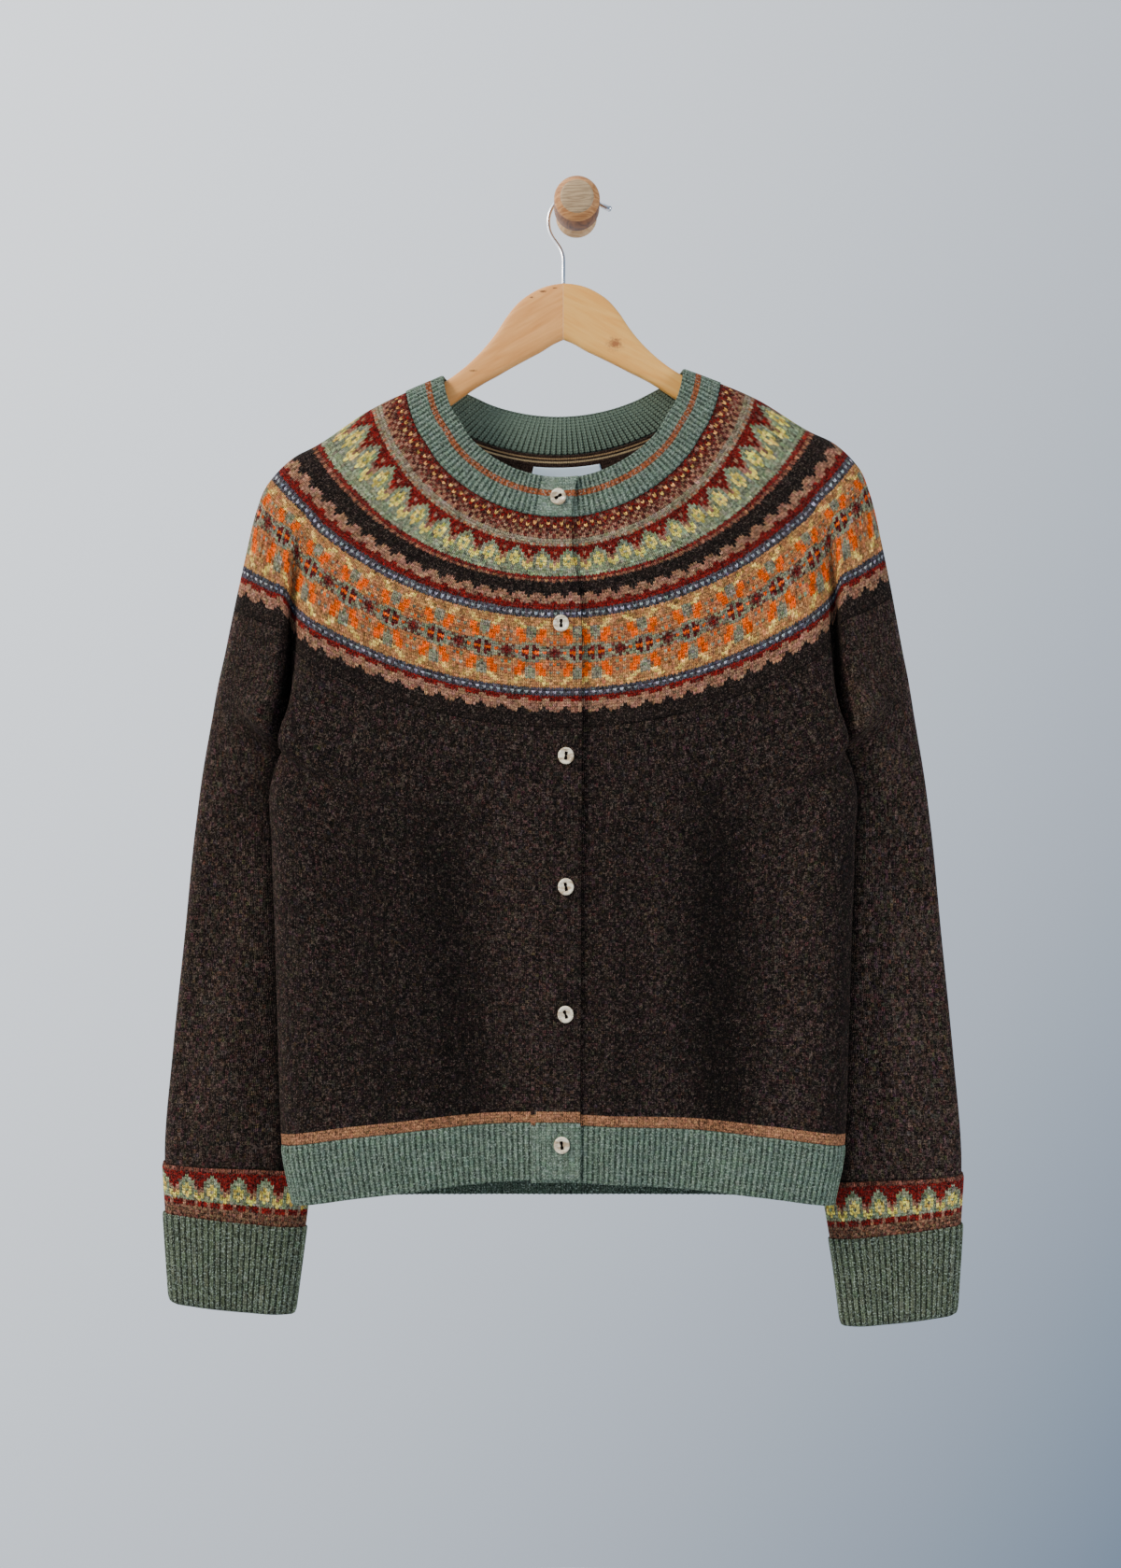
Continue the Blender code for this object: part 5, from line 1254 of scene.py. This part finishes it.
for side, name, node in ((-1, "sleeve_on_the_left", "sleeve_right"),
                         (1, "sleeve_on_the_right", "sleeve_left")):
    legs = [("sleeve", side, 0.0, 10.0)]
    eights = round(along_leg(legs[0], SLEEVE_V)[1][-1] / STITCH / 8.0)
    columns = spaced(legs, SLEEVE_V, count=8 * eights)
    top = BAND_OUTER_V + (BAND_INNER_V - BAND_OUTER_V) * np.abs(columns.base - 5.0) / 5.0
    start = YOKE_END_V + 0.1
    v = start + (top - start) * np.linspace(0.0, 1.0, 131)[:, None]
    # the painted shadow against the body's side goes into the sleeve's tones
    zones = [plain_knit(columns, v, SLEEVE_BROWN_PAINTED_LIGHTER * SLEEVE_PAINTED_LIGHT[side], 60 + side,
                        painted_shade=lambda points: painted_shadow_against_body(points, side)),
             charted(columns, 0, BAND, lambda level: band_v(level, top), 64 + side)]
    sleeve = cloth_piece(name, outward(knitted(zones)), [brown_wool], node)


# ---------------------------------------------------------------- the turned-up cuffs
# A ribbed tube of sage wool on each sleeve's end.  It hangs down to the wrist, folds outward and
# lies turned up over the sleeve, so that its inner side shows.

CUFF_RIB, CUFF_V, CUFF_WALL = 4.3, 735.0, 0.0018
CUFF_SAGE = np.array([0.54, 0.49, 0.41])     # a deeper tone, as the wool's other side shows
# v and distance of the fabric's middle from the sleeve's surface, from the seam to the free edge
CUFF_PATH = [(706.6, -0.9), (715.0, -0.9), (730.0, -0.9), (745.0, -0.9), (757.0, -0.9),
             (761.5, -0.8), (764.0, -0.1), (764.9, 0.7), (764.0, 1.6), (761.5, 2.2)]
CUFF_PATH += [(v, 2.3) for v in (758.0, 754.0, 748.0, 742.0, 736.0, 730.0, 724.0, 718.0, 712.0, 707.0,
                                 702.5, 699.5, 698.0, 697.3)] + [(697.0, 2.2)]
v, away = np.array(CUFF_PATH).T
outside = np.clip(np.arange(len(v)) - 6, 0, 4) / 4.0     # the ribs rise past the turn
outside[-3:] = (0.8, 0.5, 0.2)
for side, name, node, above in (
        (-1, "cuff_on_the_left", "cuff_right", "sleeve_on_the_left"),
        (1, "cuff_on_the_right", "cuff_left", "sleeve_on_the_right")):
    columns = spaced([("sleeve", side, 0.0, 10.0)], CUFF_V, CUFF_RIB, per=RIB_STEPS)
    # the cuff's furrows get a deeper painted shade
    zone = ribbed(columns, v, np.zeros(len(columns.base)), CUFF_SAGE * SAGE,
                  0.55 * CUFF_SAGE * SAGE_FURROW_SHADE, 70 + side, fade_rows=outside, lift=away[:, None])
    cuff = cloth_piece(name, knitted([zone]), [sage_wool], node, CUFF_WALL, 0.0)


# ---------------------------------------------------------------- the buttons
# Six round buttons cut from shell, 12.7 mm across, with a dished face, a slot of two holes and
# dark thread.  They stand on the front that shows.

BUTTON_Z = [-226.2, -321.9, -420.5, -517.6, -612.0, -709.0]
BUTTON_X = [-3.9, -1.7, 1.9, 1.85, 1.6, -1.1]
BUTTON_TURN = [-32, 90, -83, 78, 67, 82]     # the slot's turn, in degrees
BUTTON_RISE = [0.0, 0.0, 0.0, 0.0, 0.0, 0.9]      # the last one stands on the rib
BUTTON_WIDE = 0.93       # cut slightly oval
# The dark thread in the two holes and in the slot between them
HOLE_AT, HOLE, SLOT = 1.95, (2.4, 0.5, 2.4), (4.0, 0.6, 1.6)
HOLE_Y, HOLE_ROUND = -1.62, 0.24
BUTTON_GAP = 0.5
BUTTON_OUTLINE = [(0.0, 0.05), (4.9, 0.05), (5.9, 0.3), (6.35, 0.8), (6.35, 1.5), (6.1, 2.0),
                  (5.5, 2.35), (4.7, 2.3), (4.1, 1.85), (3.2, 1.6), (0.0, 1.55)]


def front_spot(x, z, rise):
    """Point on the front that shows, at a place seen from the front, and the normal there."""
    low, high = 0.0, HEM_V
    for _ in range(30):
        v = np.array([(low + high) / 2.0])
        net = net_at("front", v)
        u = np.array([-x / np.linalg.norm(net[0, 3] - net[0, 2])])
        low, high = (v[0], high) if surface("front", -1, u, v)[0][2] > z else (low, v[0])
    spot = Columns(["front"], [-1], u, None)
    if u[0] < 0.0:
        spot = Columns(["front"], [-1], -np.array([x / np.interp(v[0], LAP_V, LAP_X)]), None)
    at = read(spot, v[:, None])[0, 0]
    raised = read(spot, v[:, None], 1.0)[0, 0]
    return at + (raised - at) * rise, raised - at


shell = Finish("shell", 0.3)
tone = shell.noise(shell.place((1.0, 1.0, 2.4)), 120.0, 3.0, 0.6)
shell.set(Base_Color=shell.mix(shell.spread(tone, 0.42, 0.58), srgb(255, 240, 208),
                               srgb(186, 160, 124)), Coat_Weight=0.5, Coat_Roughness=0.08)
thread = Finish("dark_thread", 0.85)
thread.set(Base_Color=srgb(18, 12, 10), Specular_IOR_Level=0.0)
names = ["button_%d" % number for number in range(1, 7)]
for name, x, z, slant, rib in zip(names, BUTTON_X, BUTTON_Z, BUTTON_TURN, BUTTON_RISE):
    centre, normal = front_spot(x, z, rib + BUTTON_GAP)
    bm = turned([(radius, -height) for radius, height in BUTTON_OUTLINE], 48)
    body = len(bm.faces)
    for at, size in ((-HOLE_AT, HOLE), (0.0, SLOT), (HOLE_AT, HOLE)):
        bit = bmesh.ops.create_cube(bm, size=1.0)["verts"]
        bmesh.ops.scale(bm, verts=bit, vec=size)
        bmesh.ops.translate(bm, verts=bit, vec=(at, HOLE_Y, 0.0))
        bmesh.ops.bevel(bm, geom=list({e for v in bit for e in v.link_edges}), offset=HOLE_ROUND,
                        segments=2, profile=0.5, affect="EDGES", material=-1)
    bm.faces.ensure_lookup_table()
    for face in bm.faces[body:]:
        face.material_index = 1
    turn = Matrix.Rotation(math.radians(slant), 3, "Y")
    facing = Matrix.Rotation(math.atan2(-normal[2], -normal[1]), 3, "X")
    bmesh.ops.rotate(bm, verts=bm.verts, cent=(0, 0, 0), matrix=turn)
    bmesh.ops.scale(bm, verts=bm.verts, vec=(BUTTON_WIDE, 1.0, 1.0))
    bmesh.ops.rotate(bm, verts=bm.verts, cent=(0, 0, 0), matrix=facing)
    bmesh.ops.translate(bm, verts=bm.verts, vec=tuple(centre))
    finish_piece("shell_" + name, bm, [shell, thread], [name], 35.0)
